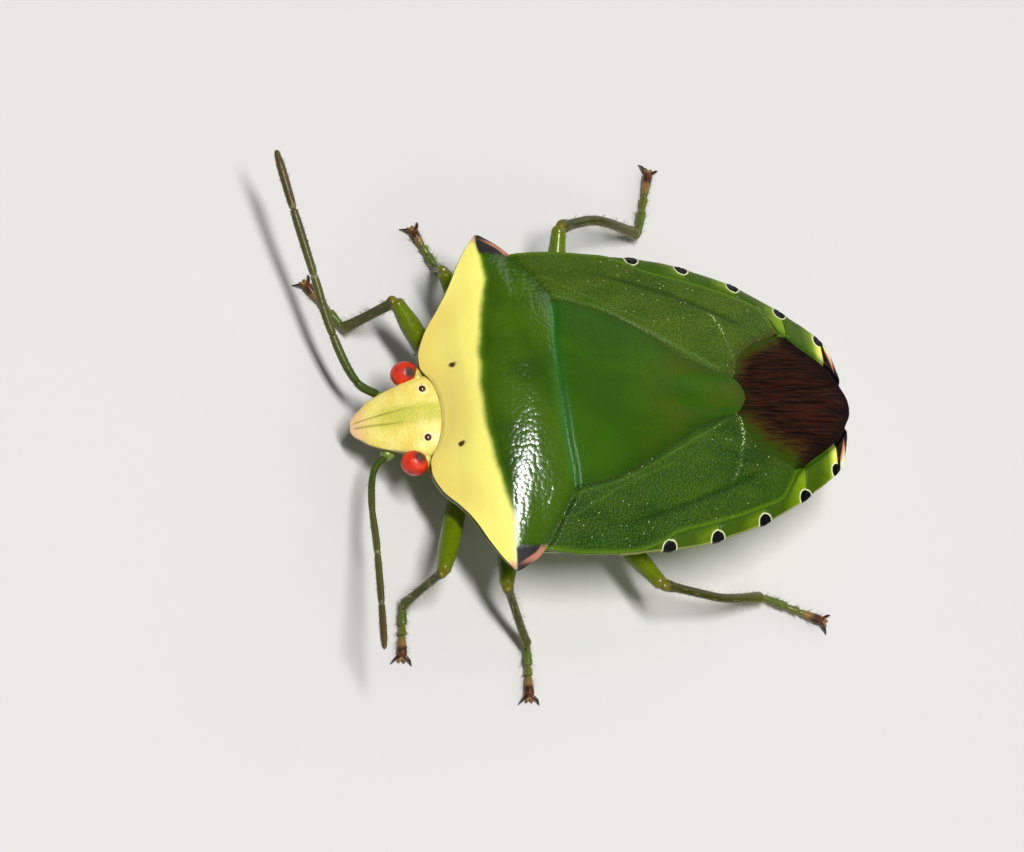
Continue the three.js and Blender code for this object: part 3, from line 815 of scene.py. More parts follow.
@dataclass(frozen=True)
class UndersideFinish:
    """Underside: pale yellow-green and pitted, with dark breathing holes and seams on the belly."""

    pale: Code = "b7c763"
    green: Code = "7fa336"
    spot: Code = "2a2412"
    line: Code = "4a6420"
    rough: float = 0.38
    coat: float = 0.25
    pits_per_mm: float = 4.2
    relief_height: float = 0.03
    hole_place: Spot = (0.78, 0.45)

    def build(self) -> Material:
        """Make the material."""
        g = Graph("underside cuticle")
        ends = PLAN.segment_ends
        bowed = g.y + g.width * g.width * PLAN.segment_bow
        out, back = self.hole_place
        holes = [lerp(front, end, back) for front, end in pairwise((PLAN.waist, *ends))]
        hole = g.least(g.near(PLAN.half_width(y) * out, y) for y in holes)
        seam = g.least(g.math("ABSOLUTE", bowed - end) for end in ends)
        grain = g.cells(self.pits_per_mm).step(0.08, 0.38)
        pits = g.math("MAXIMUM", grain, g.y.step(8.2, 9.2, 0.0, 0.6))
        g.colour = g.mix(g.noise(0.9).step(0.35, 0.7), self.pale, self.green)
        g.paint(g.width.step(3.0, 5.6, 0.0, 0.7), self.green)
        g.paint(seam.step(0.13, 0.02, 0.0, 0.7), self.line)
        g.paint(hole.step(0.14, 0.08), self.spot)
        g.paint((1.0 - pits) * 0.5, self.green)
        relief = g.relief(pits + g.noise(3.0) * 0.7, self.relief_height)
        return g.finish(self.rough, relief, coat=self.coat)


def stand(name: str, data: bpy.types.ID) -> bpy.types.Object:
    """Put an object with its data into the scene."""
    thing = bpy.data.objects.new(name, data)
    bpy.context.scene.collection.objects.link(thing)
    return thing


def solid(mesh: Mesh, name: str, material: Material) -> bpy.types.Object:
    """Turn a finished mesh into an object of one material."""
    data = bpy.data.meshes.new(name)
    mesh.to_mesh(data)
    mesh.free()
    data.materials.append(material)
    return stand(name, data)


def publish(mesh: Mesh, name: str, slot: Slot, material: Material, *nodes: str) -> None:
    """Turn a finished mesh into a piece that rides on the frame.

    Args:
        mesh: The closed mesh, in the frame's metres.
        name: The piece's name.
        slot: The record's slot; not used.
        material: The finish itself.
        nodes: The frame's nodes that it stands for, if any.
    """
    bmesh.ops.recalc_face_normals(mesh, faces=mesh.faces)
    for face in mesh.faces:
        face.smooth = True
    log.info("%s: %d faces", name, len(mesh.faces))
    piece = solid(mesh, name, material)
    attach(piece, "root")
    if nodes:
        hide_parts(*nodes)


@dataclass
class Plate:
    """A closed plate over a plan region, with rounded edges and its own coordinates."""

    columns: int
    rows: int
    plan: Plan
    top: Height
    bottom: Height
    edge: float = 0.05
    crowd: float = 0.55
    samples: int = 500
    marks: dict[str, Callable[[float, float], float]] = field(default_factory=dict)

    def build(self) -> Mesh:
        """Make the plate's mesh.

        Returns:
            A closed mesh with the attributes rim, front, rear and outer, the distances from the
            whole outline and from three of its edges, under, which is 1 on the lower face, those
            of its marks, and a UV map named Plate.
        """
        mesh = bmesh.new()
        across, along, under = (
            mesh.verts.layers.float.new(name) for name in ("across", "along", "under")
        )
        bmesh.ops.create_grid(mesh, x_segments=self.columns, y_segments=self.rows, size=0.5)
        for vert in mesh.verts:
            vert[across] = eased(vert.co.x + 0.5, self.crowd)
            vert[along] = eased(vert.co.y + 0.5, self.crowd)
        lifted = bmesh.ops.extrude_face_region(mesh, geom=mesh.faces[:])["geom"]
        upper = {vert for vert in lifted if isinstance(vert, bmesh.types.BMVert)}
        for vert in mesh.verts:
            u, v = vert[across], vert[along]
            x, y = self.plan(u, v)
            height = self.top if vert in upper else self.bottom
            vert.co = to_frame(x, y, height(x, y, u, v))
            vert[under] = 0.0 if vert in upper else 1.0
        self.round_edges(mesh, upper)
        self.mark(mesh, across, along)
        return mesh

    def round_edges(self, mesh: Mesh, upper: set[bmesh.types.BMVert]) -> None:
        """Bevel the brinks where the two faces meet the wall."""
        walls = {face for face in mesh.faces if len({vert in upper for vert in face.verts}) == 2}
        brinks = [edge for edge in mesh.edges if len(walls.intersection(edge.link_faces)) == 1]
        bmesh.ops.bevel(
            mesh, geom=brinks, offset=self.edge * MM, segments=3, profile=0.5, affect="EDGES",
            material=-1, clamp_overlap=True,
        )

    def mark(self, mesh: Mesh, across: object, along: object) -> None:
        """Write the distances, the marks and the plate's coordinates."""
        ahead, behind = lambda s: self.plan(s, 0), lambda s: self.plan(s, 1)
        inner, outer = lambda s: self.plan(0, s), lambda s: self.plan(1, s)
        trees = {
            "rim": self.tree(ahead, behind, inner, outer),
            "front": self.tree(ahead),
            "rear": self.tree(behind),
            "outer": self.tree(outer),
        }
        layers = {name: mesh.verts.layers.float.new(name) for name in (*trees, *self.marks)}
        for vert in mesh.verts:
            x, y = ((vert.co - ORIGIN) / MM).xy
            for name, tree in trees.items():
                vert[layers[name]] = tree.find((x, y, 0))[2]
            for name, amount in self.marks.items():
                vert[layers[name]] = amount(x, y)
        uv = mesh.loops.layers.uv.new("Plate")
        for face in mesh.faces:
            for loop in face.loops:
                loop[uv].uv = (loop.vert[across], loop.vert[along])

    def tree(self, *edges: Callable[[float], Spot]) -> KDTree:
        """Sample some edges of the outline for nearest distances.

        Args:
            edges: The point of each edge at a share of its length.

        Returns:
            The search tree, in millimetres on the plan.
        """
        shares = [i / self.samples for i in range(self.samples + 1)]
        found = [edge(share) for share in shares for edge in edges]
        tree = KDTree(len(found))
        for i, (x, y) in enumerate(found):
            tree.insert((x, y, 0), i)
        tree.balance()
        return tree


@dataclass
class Shield:
    """Pronotum and scutellum."""

    front_thickness: float = 0.28
    thickness: float = 0.7
    nape: float = 0.12
    callus: Spot = (1.5, 3.75)
    spine_narrowing: float = 0.72
    crown: float = 0.05

    def pronotum(self) -> Plate:
        """The shield behind the head, drawn out into a spine on each side."""

        def plan(u: float, v: float) -> Spot:
            swing = 2 * u - 1
            x = math.copysign(PLAN.spine_tip * abs(swing) ** 0.95, swing)
            return x, lerp(PLAN.pronotum_front(abs(x)), PLAN.pronotum_rear(abs(x)), v)

        def top(x: float, y: float, u: float, v: float) -> float:
            inside = clamp(6 * v * (1 - v))
            swelling = 0.06 * bell(apart(x, y, self.callus), 0.8)
            pit = 0.06 * bell(apart(x, y, PLAN.pronotum_dot), 0.09)
            dip = 1 - smooth((y - PLAN.pronotum_front(abs(x))) / 0.45)
            nape = self.nape * dip * clamp(2.2 - abs(x))
            return PLAN.back(x, y) - 0.04 * (1 - inside) + swelling - pit - nape

        def bottom(x: float, y: float, u: float, v: float) -> float:
            narrowing = 1 - self.spine_narrowing * (abs(x) / PLAN.spine_tip) ** 8
            depth = lerp(self.front_thickness, self.thickness, clamp(5 * v * (1 - v)))
            return top(x, y, u, v) - depth * narrowing

        return Plate(200, 90, plan, top, bottom, edge=0.08)

    def scutellum(self) -> Plate:
        """The long triangle between the wings."""

        def plan(u: float, v: float) -> Spot:
            along = 1 - (1 - v) ** 1.3
            side = PLAN.scutellum_side(lerp(7.3, PLAN.scutellum_apex, along))
            shoulder = PLAN.pronotum_rear(abs(2 * u - 1) * 3.8) - PLAN.tuck
            return (2 * u - 1) * side, lerp(shoulder, PLAN.scutellum_apex, along)

        def top(x: float, y: float, u: float, v: float) -> float:
            crown = self.crown * (1 - (2 * u - 1) ** 2) * clamp(5 * (1 - v))
            dent = 0.05 * bell(abs(x) - 0.55, 0.3) * bell(y - 12.8, 1.3)
            return PLAN.back(x, y) + crown - dent - PLAN.under_pronotum(x, y)

        def bottom(x: float, y: float, u: float, v: float) -> float:
            return PLAN.back(x, y) - PLAN.plate

        return Plate(100, 100, plan, top, bottom, edge=0.035)

    def build(self) -> None:
        """Make both plates."""
        for node, plate, finish in (
            ("pronotum", self.pronotum(), ShieldFinish()),
            ("scutellum", self.scutellum(), ScutellumFinish()),
        ):
            publish(plate.build(), f"{node}_shield", Slot.SHIELD, finish.build(), node)


@dataclass
class Wings:
    """The two forewings: leathery coria and dark membranes folded over the tail."""

    corium_reach: float = 3.835
    corium_front: float = 6.05
    corium_inner_end: float = 14.62
    membrane_reach: float = 2.72
    vein_height: float = 0.025
    fold_depth: float = 0.03
    claval_vein: Profile = Profile(
        (7.4, 4.1), (9.5, 3.5), (11.0, 2.75), (12.95, 1.68), (13.8, 1.2), (14.6, 0.8),
    )
    middle_vein: Profile = Profile(
        (7.4, 4.9), (8.2, 4.45), (9.1, 3.95), (9.8, 3.6), (11.5, 2.95), (14.5, 2.3),
    )
    long_fold: Profile = Profile(
        (7.4, 5.55), (8.6, 5.35), (10.0, 5.03), (11.7, 4.55), (13.4, 3.92), (15.3, 3.1),
    )
    cross_ridge: Profile = Profile(
        (0.66, 14.55), (1.2, 14.73), (1.8, 14.72), (2.2, 14.58), (2.7, 14.48), (3.3, 14.22),
        (3.6, 14.0), (4.4, 13.0),
    )

    def vein(self, x: float, y: float) -> float:
        """How much of a raised vein lies at a place of the corium, from 0 to 1."""
        x = abs(x)
        claval = bell(x - self.claval_vein(y), 0.09)
        middle = 0.7 * bell(x - self.middle_vein(y), 0.08) * clamp(12 - y)
        return clamp(max(max(claval, middle) * clamp(2 * (14.3 - y)), 0.4 * self.cross(x, y)))

    def cross(self, x: float, y: float) -> float:
        """How much of the cross ridge lies at a place of the corium, from 0 to 1; parts of it carry
        a painted highlight.
        """
        x = abs(x)
        return bell(y - self.cross_ridge(x), 0.06) * clamp(3 * (3.7 - x))

    def fold(self, x: float, y: float) -> float:
        """How much of a fold lies at a place of the corium, from 0 to 1: the long fold, the seam
        beside the scutellum and the strip behind the pronotum's rear edge, each dipped a little and
        given painted shade.
        """
        x = abs(x)
        along = bell(x - self.long_fold(y), 0.13) * smooth((y - 8) / 3) * smooth((16 - y) / 1.5)
        beside = 0.8 * bell(x - PLAN.scutellum_side(y), 0.18)
        behind = 0.7 * bell(y - PLAN.pronotum_rear(x), 0.25)
        return clamp(max(along, beside, behind))

    def corium(self, side: Side) -> Plate:
        """The leathery part of one forewing."""
        front_xs = (self.corium_reach - PLAN.tuck, 4.5, 5.2, self.corium_front)
        front = Path([(x, PLAN.pronotum_rear(x) - PLAN.tuck, 0) for x in front_xs])
        rear_in = PLAN.scutellum_side(self.corium_inner_end) - 0.1
        rear_out = PLAN.wing_edge(PLAN.corium_apex)

        def ahead(u: float) -> Spot:
            return tuple(front.point(u).xy)

        def behind(u: float) -> Spot:
            x = lerp(rear_in, rear_out, u)
            return x, PLAN.suture(x)

        def inner(v: float) -> Spot:
            y = lerp(ahead(0)[1], behind(0)[1], v)
            return PLAN.scutellum_side(y) - lerp(PLAN.tuck, 0.1, v), y

        def outer(v: float) -> Spot:
            y = lerp(ahead(1)[1], behind(1)[1], v)
            return PLAN.wing_edge(y), y

        def plan(u: float, v: float) -> Spot:
            place = []
            for axis in (0, 1):
                sides = lerp(inner(v)[axis], outer(v)[axis], u)
                ends = lerp(ahead(u)[axis], behind(u)[axis], v)
                corners = [lerp(inner(end)[axis], outer(end)[axis], u) for end in (0, 1)]
                place.append(sides + ends - lerp(*corners, v))
            return side.value * place[0], place[1]

        def top(x: float, y: float, u: float, v: float) -> float:
            roll = 0.03 * clamp(1 - 8 * (1 - u)) ** 2 + 0.045 * smooth((v - 0.93) / 0.07)
            slip = 0.035 * (1 - smooth((abs(x) - PLAN.scutellum_side(y)) / 0.45)) * clamp(15.2 - y)
            relief = self.vein_height * self.vein(x, y) - self.fold_depth * self.fold(x, y)
            return PLAN.back(x, y) + relief - roll - slip - PLAN.under_pronotum(x, y)

        def bottom(x: float, y: float, u: float, v: float) -> float:
            return PLAN.back(x, y) - lerp(PLAN.plate, 0.3, clamp(5 * u - 4))

        marks = {"vein": self.vein, "fold": self.fold, "cross": self.cross}
        return Plate(140, 170, plan, top, bottom, edge=0.03, marks=marks)

    def membrane(self, side: Side) -> Plate:
        """The membrane of one forewing; the left one lies over the right one."""
        reach = self.membrane_reach

        def overlap(v: float) -> float:
            return -0.3 - 0.55 * v

        def plan(u: float, v: float) -> Spot:
            low = overlap(v) if side is Side.LEFT else -reach
            high = reach if side is Side.LEFT else overlap(v) + 0.25
            x = lerp(low, high, u)
            return x, lerp(PLAN.membrane_front(abs(x)) - 0.15, PLAN.membrane_rear(abs(x)), v)

        def top(x: float, y: float, u: float, v: float) -> float:
            fan = math.atan2(x + 0.2 * side.value, y - 11.5)
            folds = 0.01 * math.sin(fan * 62 + 1.5 * math.sin(y * 2.1))
            folds += 0.006 * math.sin(fan * 151 + 2 * math.sin(y * 3.7 + 1))
            ripple = 0.02 * math.sin(2.3 * x + 3.1 * y) * smooth(4 * v)
            under = 0.07 * clamp(12 * (u - 0.88)) if side is Side.RIGHT else 0.0
            waves = (folds + ripple) * smooth(5 * v) * smooth(7 * (1 - v))
            return PLAN.back(x, y) - lerp(0.052, 0.065, smooth(6 * v)) + waves - under

        def bottom(x: float, y: float, u: float, v: float) -> float:
            return PLAN.back(x, y) - (0.42 if side is Side.LEFT else 0.5)

        return Plate(150, 130, plan, top, bottom, edge=0.03)

    def build(self) -> None:
        """Make all four plates."""
        leather, film = WingFinish().build(), MembraneFinish().build()
        for side in Side:
            corium, membrane = f"corium_{side.word}", f"membrane_{side.word}"
            publish(self.corium(side).build(), f"{corium}_leather", Slot.WING, leather, corium)
            publish(self.membrane(side).build(), f"{membrane}_film", Slot.MEMBRANE, film, membrane)


@dataclass
class Rim:
    """The connexivum, toothed at each segment's end, where it bears a spot."""

    front: float = 9.3
    rear: float = 19.55
    tooth: float = 0.07
    spot_length: float = 0.27
    spot_depth: float = 0.28
    spot_place: float = 0.04

    def outside(self, y: float) -> float:
        """How far out the rim reaches at a station."""
        swelling = max(bell(y - end - 0.05, 0.26) for end in PLAN.segment_ends)
        return PLAN.half_width(y) + self.tooth * (swelling - 0.3)

    @cached_property
    def centres(self) -> list[tuple[Vector, Vector]]:
        """Where each spot lies and which way the margin runs there."""
        found = []
        for end in PLAN.segment_ends:
            spread = PLAN.half_width(end + 0.3) - PLAN.half_width(end - 0.3)
            run = Vector((spread, 0.6)).normalized()
            found.append((Vector((PLAN.half_width(end) - self.spot_place, end)), run))
        return found

    def spot(self, x: float, y: float) -> float:
        """Distance from the nearest spot's centre, 1 at the edge of its oval."""
        centre, run = min(self.centres, key=lambda spot: abs(y - spot[0].y))
        gone = Vector((abs(x), y)) - centre
        return math.hypot(gone.dot(run) / self.spot_length, gone.cross(run) / self.spot_depth)

    def segment(self, x: float, y: float) -> float:
        """How far along its segment a place lies."""
        return PLAN.segment_share(y, self.front)

    def inner(self, x: float, y: float) -> float:
        """How far a place lies outside the wing's edge."""
        return abs(x) - PLAN.wing_edge(y)

    def strip(self, side: Side) -> Plate:
        """One side's strip beside the wing."""

        def plan(u: float, v: float) -> Spot:
            y = lerp(self.front, self.rear, v)
            inside = PLAN.wing_edge(y) - 0.14
            return side.value * lerp(inside, max(self.outside(y), inside + 0.2), u), y

        def top(x: float, y: float, u: float, v: float) -> float:
            joint = 0.04 * bell(PLAN.segment_share(y, self.front), 0.06)
            slip = lerp(0.05, 0.14, smooth((y - 16.6) / 0.5))
            slip *= 1 - smooth(self.inner(x, y) / 0.2)
            swell = 0.04 * math.sin(math.pi * u) - 0.07 * u**3
            return PLAN.back(x, y) - 0.04 + swell - slip - joint

        def bottom(x: float, y: float, u: float, v: float) -> float:
            return PLAN.rim_height(y) - lerp(0.5, 0.3, u)

        marks = {"spot": self.spot, "segment": self.segment, "inner": self.inner}
        return Plate(26, 440, plan, top, bottom, edge=0.05, crowd=0.0, marks=marks)

    def build(self) -> None:
        """Make both strips."""
        finish = RimFinish().build()
        for side in Side:
            node = f"connexivum_{side.word}"
            publish(self.strip(side).build(), f"{node}_rim", Slot.RIM, finish, node)


@dataclass
class Underside:
    """Thorax and abdomen below the plates."""

    thorax_front: float = 3.3
    thorax_ends: tuple[float, ...] = (5.6, 7.45)
    groove: float = 0.07
    beak_hollow: float = 0.15

    def core(
        self, front: float, rear: float, reach: Callable[[float], float], power: float,
        relief: Callable[[float, float], float],
    ) -> Plate:
        """A deep plate whose lower face is rounded down to the keel.

        Args:
            front: Its front station.
            rear: Its rear station.
            reach: Half its width at a station.
            power: How round its lower face is; 1 is a straight slope.
            relief: What is added to the lower face's height at a place.

        Returns:
            The plate.
        """

        def plan(u: float, v: float) -> Spot:
            y = lerp(front, rear, v)
            return (2 * u - 1) * reach(y), y

        def top(x: float, y: float, u: float, v: float) -> float:
            return PLAN.back(x, y) - PLAN.plate - 0.1

        def bottom(x: float, y: float, u: float, v: float) -> float:
            brink = top(reach(y), y, u, v) - 0.12
            share = abs(2 * u - 1) ** power
            low = lerp(PLAN.keel_height(y), brink, share) + relief(x, y) * (1 - share)
            return min(low, top(x, y, u, v) - 0.12)

        return Plate(90, 110, plan, top, bottom, edge=0.05, crowd=0.3)

    def thorax(self) -> Plate:
        """The pitted underside between head and belly."""
        reach = Profile((3.3, 2.5), (3.8, 3.9), (4.4, 5.0), (5.0, 5.75), (5.8, 6.0), (8.8, 6.0))

        def relief(x: float, y: float) -> float:
            seams = sum(bell(y - end - 0.12 * abs(x), 0.09) for end in self.thorax_ends)
            return self.groove * seams + self.beak_hollow * bell(x, 0.45)

        return self.core(self.thorax_front, PLAN.waist, reach, 1.25, relief)

    def abdomen(self) -> Plate:
        """The smooth belly, each segment overlapping the next a little."""

        def reach(y: float) -> float:
            return max(min(PLAN.half_width(y) - 0.16, 5.95), 0.2)

        def relief(x: float, y: float) -> float:
            return -self.groove * PLAN.segment_share(y + PLAN.segment_bow * x * x, PLAN.waist) ** 3

        return self.core(PLAN.waist + PLAN.seam, PLAN.tail, reach, 1.7, relief)

    def build(self) -> None:
        """Make both."""
        finish = UndersideFinish().build()
        publish(self.thorax().build(), "thorax_underside", Slot.UNDERSIDE, finish, "thorax")
        publish(self.abdomen().build(), "abdomen_belly", Slot.UNDERSIDE, finish, "abdomen")


@dataclass
class Tube:
    """A closed round bar along a path, its ends rounded."""

    path: Path
    radius: Callable[[float], float]
    reference: Vector
    span: Spot = (0.0, 1.0)
    sides: int = 20
    rings: int = 32
    flatten: float = 1.0
    ridge: float = 0.0
    cap: float = 0.06

    def frame_at(self, share: float) -> tuple[Vector, Vector, Vector, float]:
        """The centre, the two cross directions and the radius at a share of the length."""
        tangent = self.path.tangent(share)
        side = (self.reference - tangent * self.reference.dot(tangent)).normalized()
        end = min(share, 1 - share)
        taper = math.sqrt(clamp(1 - (1 - clamp(end / self.cap)) ** 2))
        return self.path.point(share), side, tangent.cross(side), self.radius(share) * taper

    def surface(self, angle: float, share: float) -> Vector:
        """The point of the skin at an angle round the path, in millimetres."""
        centre, side, other, radius = self.frame_at(share)
        sharp = 1 + self.ridge * max(0.0, math.cos(angle)) ** 6
        across, up = side * math.sin(angle) * self.flatten, other * math.cos(angle) * sharp
        return centre + (across + up) * radius

    def add_to(self, mesh: Mesh) -> None:
        """Roll a grid round the path and weld its seam and ends."""
        layers = mesh.verts.layers.float
        along, ridge = (layers.get(name) or layers.new(name) for name in ("along", "ridge"))
        grid = bmesh.ops.create_grid(mesh, x_segments=self.sides, y_segments=self.rings, size=0.5)
        verts = grid["verts"]
        for vert in verts:
            angle = math.tau * (vert.co.x + 0.5)
            share = eased(vert.co.y + 0.5, 0.6)
            vert[along] = lerp(*self.span, share)
            vert[ridge] = clamp(-math.cos(angle)) ** 4
            vert.co = to_frame(*self.surface(angle, share))
        bmesh.ops.remove_doubles(mesh, verts=verts, dist=1e-8)


def hairs(mesh: Mesh, tube: Tube, count: int, length: float, draw: random.Random) -> None:
    """Set short bent-forward hairs on a tube, clear of the floor.

    Args:
        mesh: The mesh that takes them.
        tube: The limb they grow from.
        count: How many.
        length: Their length in millimetres.
        draw: The seeded source of their places.
    """
    for _ in range(count):
        share, angle = draw.uniform(0.08, 0.97), draw.uniform(0, math.tau)
        root = tube.surface(angle, share)
        out = (root - tube.path.point(share)).normalized()
        lean = (out + tube.path.tangent(share) * draw.uniform(0.5, 1.1)).normalized()
        size = length * draw.uniform(0.6, 1.2)
        middle = root + lean * size * 0.45
        if (root + lean * size).z < 0.03:
            continue
        turn = lean.to_track_quat("Z", "Y").to_matrix().to_4x4()
        bmesh.ops.create_cone(
            mesh, cap_ends=True, segments=3, radius1=0.009 * MM, radius2=0.002 * MM,
            depth=size * MM, matrix=Matrix.Translation(to_frame(*middle)) @ turn,
        )


@dataclass
class Leg:
    """One leg: coxa, femur, tibia, three-part tarsus and two claws over a pad."""

    node: str
    coxa: Spot
    knee: Point
    ankle: Spot
    foot: Spot
    bow: Point = (0.0, 0.0, 0.0)
    coxa_height: float = 1.45
    ankle_height: float = 0.42
    foot_height: float = 0.19
    hairiness: Sequence[tuple[int, float]] = (
        (60, 0.16), (110, 0.24), (50, 0.24), (30, 0.22), (50, 0.24),
    )

    def points(self) -> dict[str, Vector]:
        """The joints of the leg, in millimetres."""
        hip = Vector((*self.coxa, self.coxa_height))
        knee = Vector(self.knee)
        trochanter = hip.lerp(knee, 0.12)
        trochanter.z = self.coxa_height - 0.15
        return {
            "hip": hip,
            "trochanter": trochanter,
            "knee": knee,
            "ankle": Vector((*self.ankle, self.ankle_height)),
            "foot": Vector((*self.foot, self.foot_height)),
        }

    def tubes(self) -> list[Tube]:
        """The leg's bars from root to foot."""
        hip, trochanter, knee, ankle, foot = self.points().values()
        plane = (knee - hip).cross(ankle - knee).normalized()
        bend = knee.lerp(ankle, 0.5) + Vector(self.bow)
        inward = hip + Vector((-0.25 * math.copysign(1, hip.x), 0, 0.25))
        past = ankle.lerp(foot, 0.04)
        tibia = Profile(
            (0, 0.25), (0.06, 0.27), (0.16, 0.2), (0.5, 0.19), (0.85, 0.21), (0.95, 0.24),
            (1, 0.22),
        )
        femur = Profile((0, 0.22), (0.1, 0.27), (0.4, 0.41), (0.7, 0.41), (0.9, 0.31), (1, 0.27))
        coxa_run = Path([inward, hip.lerp(trochanter, 0.9)])
        trochanter_run = Path([trochanter.lerp(hip, 0.35), trochanter.lerp(knee, 0.08)])
        femur_run = Path([trochanter, knee.lerp(ankle, 0.02)])
        tibia_run = Path([knee.lerp(hip, 0.02), bend, past])
        bars = [
            Tube(coxa_run, Profile((0, 0.42), (1, 0.32)), plane, (0, 0.08), cap=0.35),
            Tube(trochanter_run, Profile((0, 0.3), (1, 0.3)), plane, (0.08, 0.1), cap=0.4),
            Tube(femur_run, femur, plane, (0.1, 0.45), rings=48, cap=0.04),
            Tube(
                tibia_run, tibia, plane, (0.45, 0.75), rings=56, flatten=0.84, ridge=0.14, cap=0.04,
            ),
        ]
        for start, end, radius in ((0.0, 0.44, 0.16), (0.4, 0.62, 0.15), (0.59, 1.0, 0.18)):
            path = Path([ankle.lerp(foot, start), ankle.lerp(foot, end)])
            widths = ((0, 0.6), (0.6, 1.0), (0.88, 1.1), (1, 0.8))
            shape = Profile(*((at, radius * width) for at, width in widths))
            span = (lerp(0.75, 0.95, start), lerp(0.75, 0.95, end))
            bars.append(Tube(path, shape, plane, span, sides=18, rings=24, cap=0.14))
        return bars

    def claws(self) -> list[Tube]:
        """Two wide-set curved claws and the soft pads between them."""
        *_, ankle, foot = self.points().values()
        forward = (foot - ankle).to_2d().normalized().to_3d()
        sideways = Vector((-forward.y, forward.x, 0))
        up = Vector((0, 0, 1))
        hook = Profile((0, 0.085), (0.4, 0.06), (1, 0.015))
        parts = []
        for side in (-1, 1):
            root = foot - forward * 0.08 + sideways * side * 0.04
            bend = foot + forward * 0.12 + sideways * side * 0.27 + up * 0.04
            tip = foot + forward * 0.3 + sideways * side * 0.43
            tip.z = 0.03
            parts.append(Tube(Path([root, bend, tip]), hook, up, (0.965, 1.0), sides=12, rings=24))
            pad = foot + forward * 0.22 + sideways * side * 0.14
            pad.z = 0.075
            shape = Profile((0, 0.055), (1, 0.075))
            run = Path([foot, pad])
            parts.append(Tube(run, shape, up, (0.905, 0.91), sides=12, rings=14, cap=0.4))
        return parts

    def build(
        self, finish: Material, hair: Material, draw: random.Random
    ) -> None:
        """Make the leg and its hairs."""
        mesh, down = bmesh.new(), bmesh.new()
        bars = self.tubes()
        for bar in bars + self.claws():
            bar.add_to(mesh)
        publish(mesh, f"{self.node}_limb", Slot.LEG, finish, self.node)
        for bar, (count, length) in zip(bars[2:], self.hairiness):
            hairs(down, bar, count, length, draw)
        publish(down, f"{self.node}_hairs", Slot.LEG, hair)


@dataclass
class Legs:
    """All six legs, each set down where the photo has it."""

    coxa_side: float = 1.3

    def poses(self) -> list[Leg]:
        """The legs with their joints' places."""
        out = self.coxa_side
        return [
            Leg("leg_front_left", (out, 4.75), (6.34, 2.67, 3.0), (6.66, 1.8), (8.76, 1.58)),
            Leg("leg_front_right", (-out, 4.75), (-4.77, 1.98, 3.2), (-4.56, 0.77), (-6.58, -0.58)),
            Leg("leg_mid_left", (out, 6.7), (6.91, 5.11, 3.0), (8.36, 6.64), (10.43, 6.55)),
            Leg("leg_mid_right", (-out, 6.7), (-6.0, 4.05, 3.2), (-7.1, 4.9), (-8.93, 4.11)),
            Leg("leg_hind_left", (out, 8.35), (7.06, 11.35, 3.25), (6.5, 16.6), (7.49, 19.19),
                bow=(0.25, 0, 0.1)),
            Leg("leg_hind_right", (-out, 8.35), (-7.87, 8.92, 3.5), (-8.67, 13.5), (-11.61, 14.42),
                bow=(-0.3, 0, 0.3)),
        ]

    def build(self) -> None:
        """Make every leg."""
        green, olive, shade = "5e7004", "444a06", "363c02"
        joint, dark = "6a6410", "140b06"
        colours = (
            (0.0, "7c9430"), (0.11, green), (0.42, green), (0.455, joint), (0.475, shade),
            (0.6, shade), (0.72, olive), (0.752, joint), (0.78, "4c6018"),
            (0.87, "60681c"), (0.905, "8a6434"), (0.92, "3a1e0c"),
            (0.955, "6b3414"), (0.985, dark),
        )
        finish = LimbFinish("leg cuticle", colours, "8c5a1c", ridge=0.45).build()
        hair = PlainFinish("leg hairs", "a89c60", "6c6434", rough=0.4, coat=0.0).build()
        draw = random.Random(SEED)
        for leg in self.poses():
            leg.build(finish, hair, draw)


@dataclass
class Antennae:
    """The two feelers, five segments each."""

    joints: tuple[float, ...] = (0.0, 0.1, 0.29, 0.52, 0.77, 1.0)
    thickness: float = 0.17
    left: Sequence[Point] = (
        (1.25, 1.25, 1.98), (1.75, 0.75, 1.95), (3.2, 0.35, 2.3), (5.2, 0.1, 3.0),
        (7.6, -0.25, 3.8), (9.9, -0.6, 4.5),
    )
    right: Sequence[Point] = (
        (-1.25, 1.25, 1.98), (-1.62, 0.42, 2.2), (-3.62, -0.66, 2.8), (-5.77, -1.32, 3.4),
        (-8.05, -2.01, 4.0), (-10.42, -2.59, 4.4),
    )

    def path(self, side: Side) -> Path:
        """Where one feeler runs."""
        return Path(self.left if side is Side.LEFT else self.right)

    def build(self) -> None:
        """Make both feelers and their down."""
        green, olive, brown = "384a08", "4e4e1e", "4c3e1c"
        colours = (
            (0.0, green), (0.12, green), (0.28, "4a5018"), (0.5, olive),
            (0.515, "76744a"), (0.535, olive), (0.76, "48421e"),
            (0.775, "78704a"), (0.8, brown), (1.0, "54421e"),
        )
        skin = LimbFinish("antenna cuticle", colours, "4a5420", 0.2, rough=0.34, shine=0.3)
        finish = skin.build()
        hair = PlainFinish("antenna down", "a89c74", "74683c", rough=0.45).build()
        draw = random.Random(SEED + 1)
        for side in Side:
            whole = self.path(side)
            girth = self.thickness * (0.82 if side is Side.LEFT else 1.0)
            mesh, down = bmesh.new(), bmesh.new()
            for start, end in pairwise(self.joints):
                steps = [lerp(start, end + 0.004, i / 6) for i in range(7)]
                path = Path([whole.point(min(step, 1.0)) for step in steps])
                tip, cap = (0.55, 0.06) if end == self.joints[-1] else (0.88, 0.03)
                stops = ((0, 0.86), (0.12, 0.94), (0.7, 1.0), (1, tip))
                shape = Profile(*((share, girth * size) for share, size in stops))
                up = Vector((0, 0, 1))
                segment = Tube(path, shape, up, (start, end), sides=18, rings=44, cap=cap)
                segment.add_to(mesh)
                hairs(down, segment, int(30 + 160 * start), 0.1, draw)
            node = f"antenna_{side.word}"
            publish(mesh, f"{node}_feeler", Slot.ANTENNA, finish, node)
            publish(down, f"{node}_down", Slot.ANTENNA, hair)


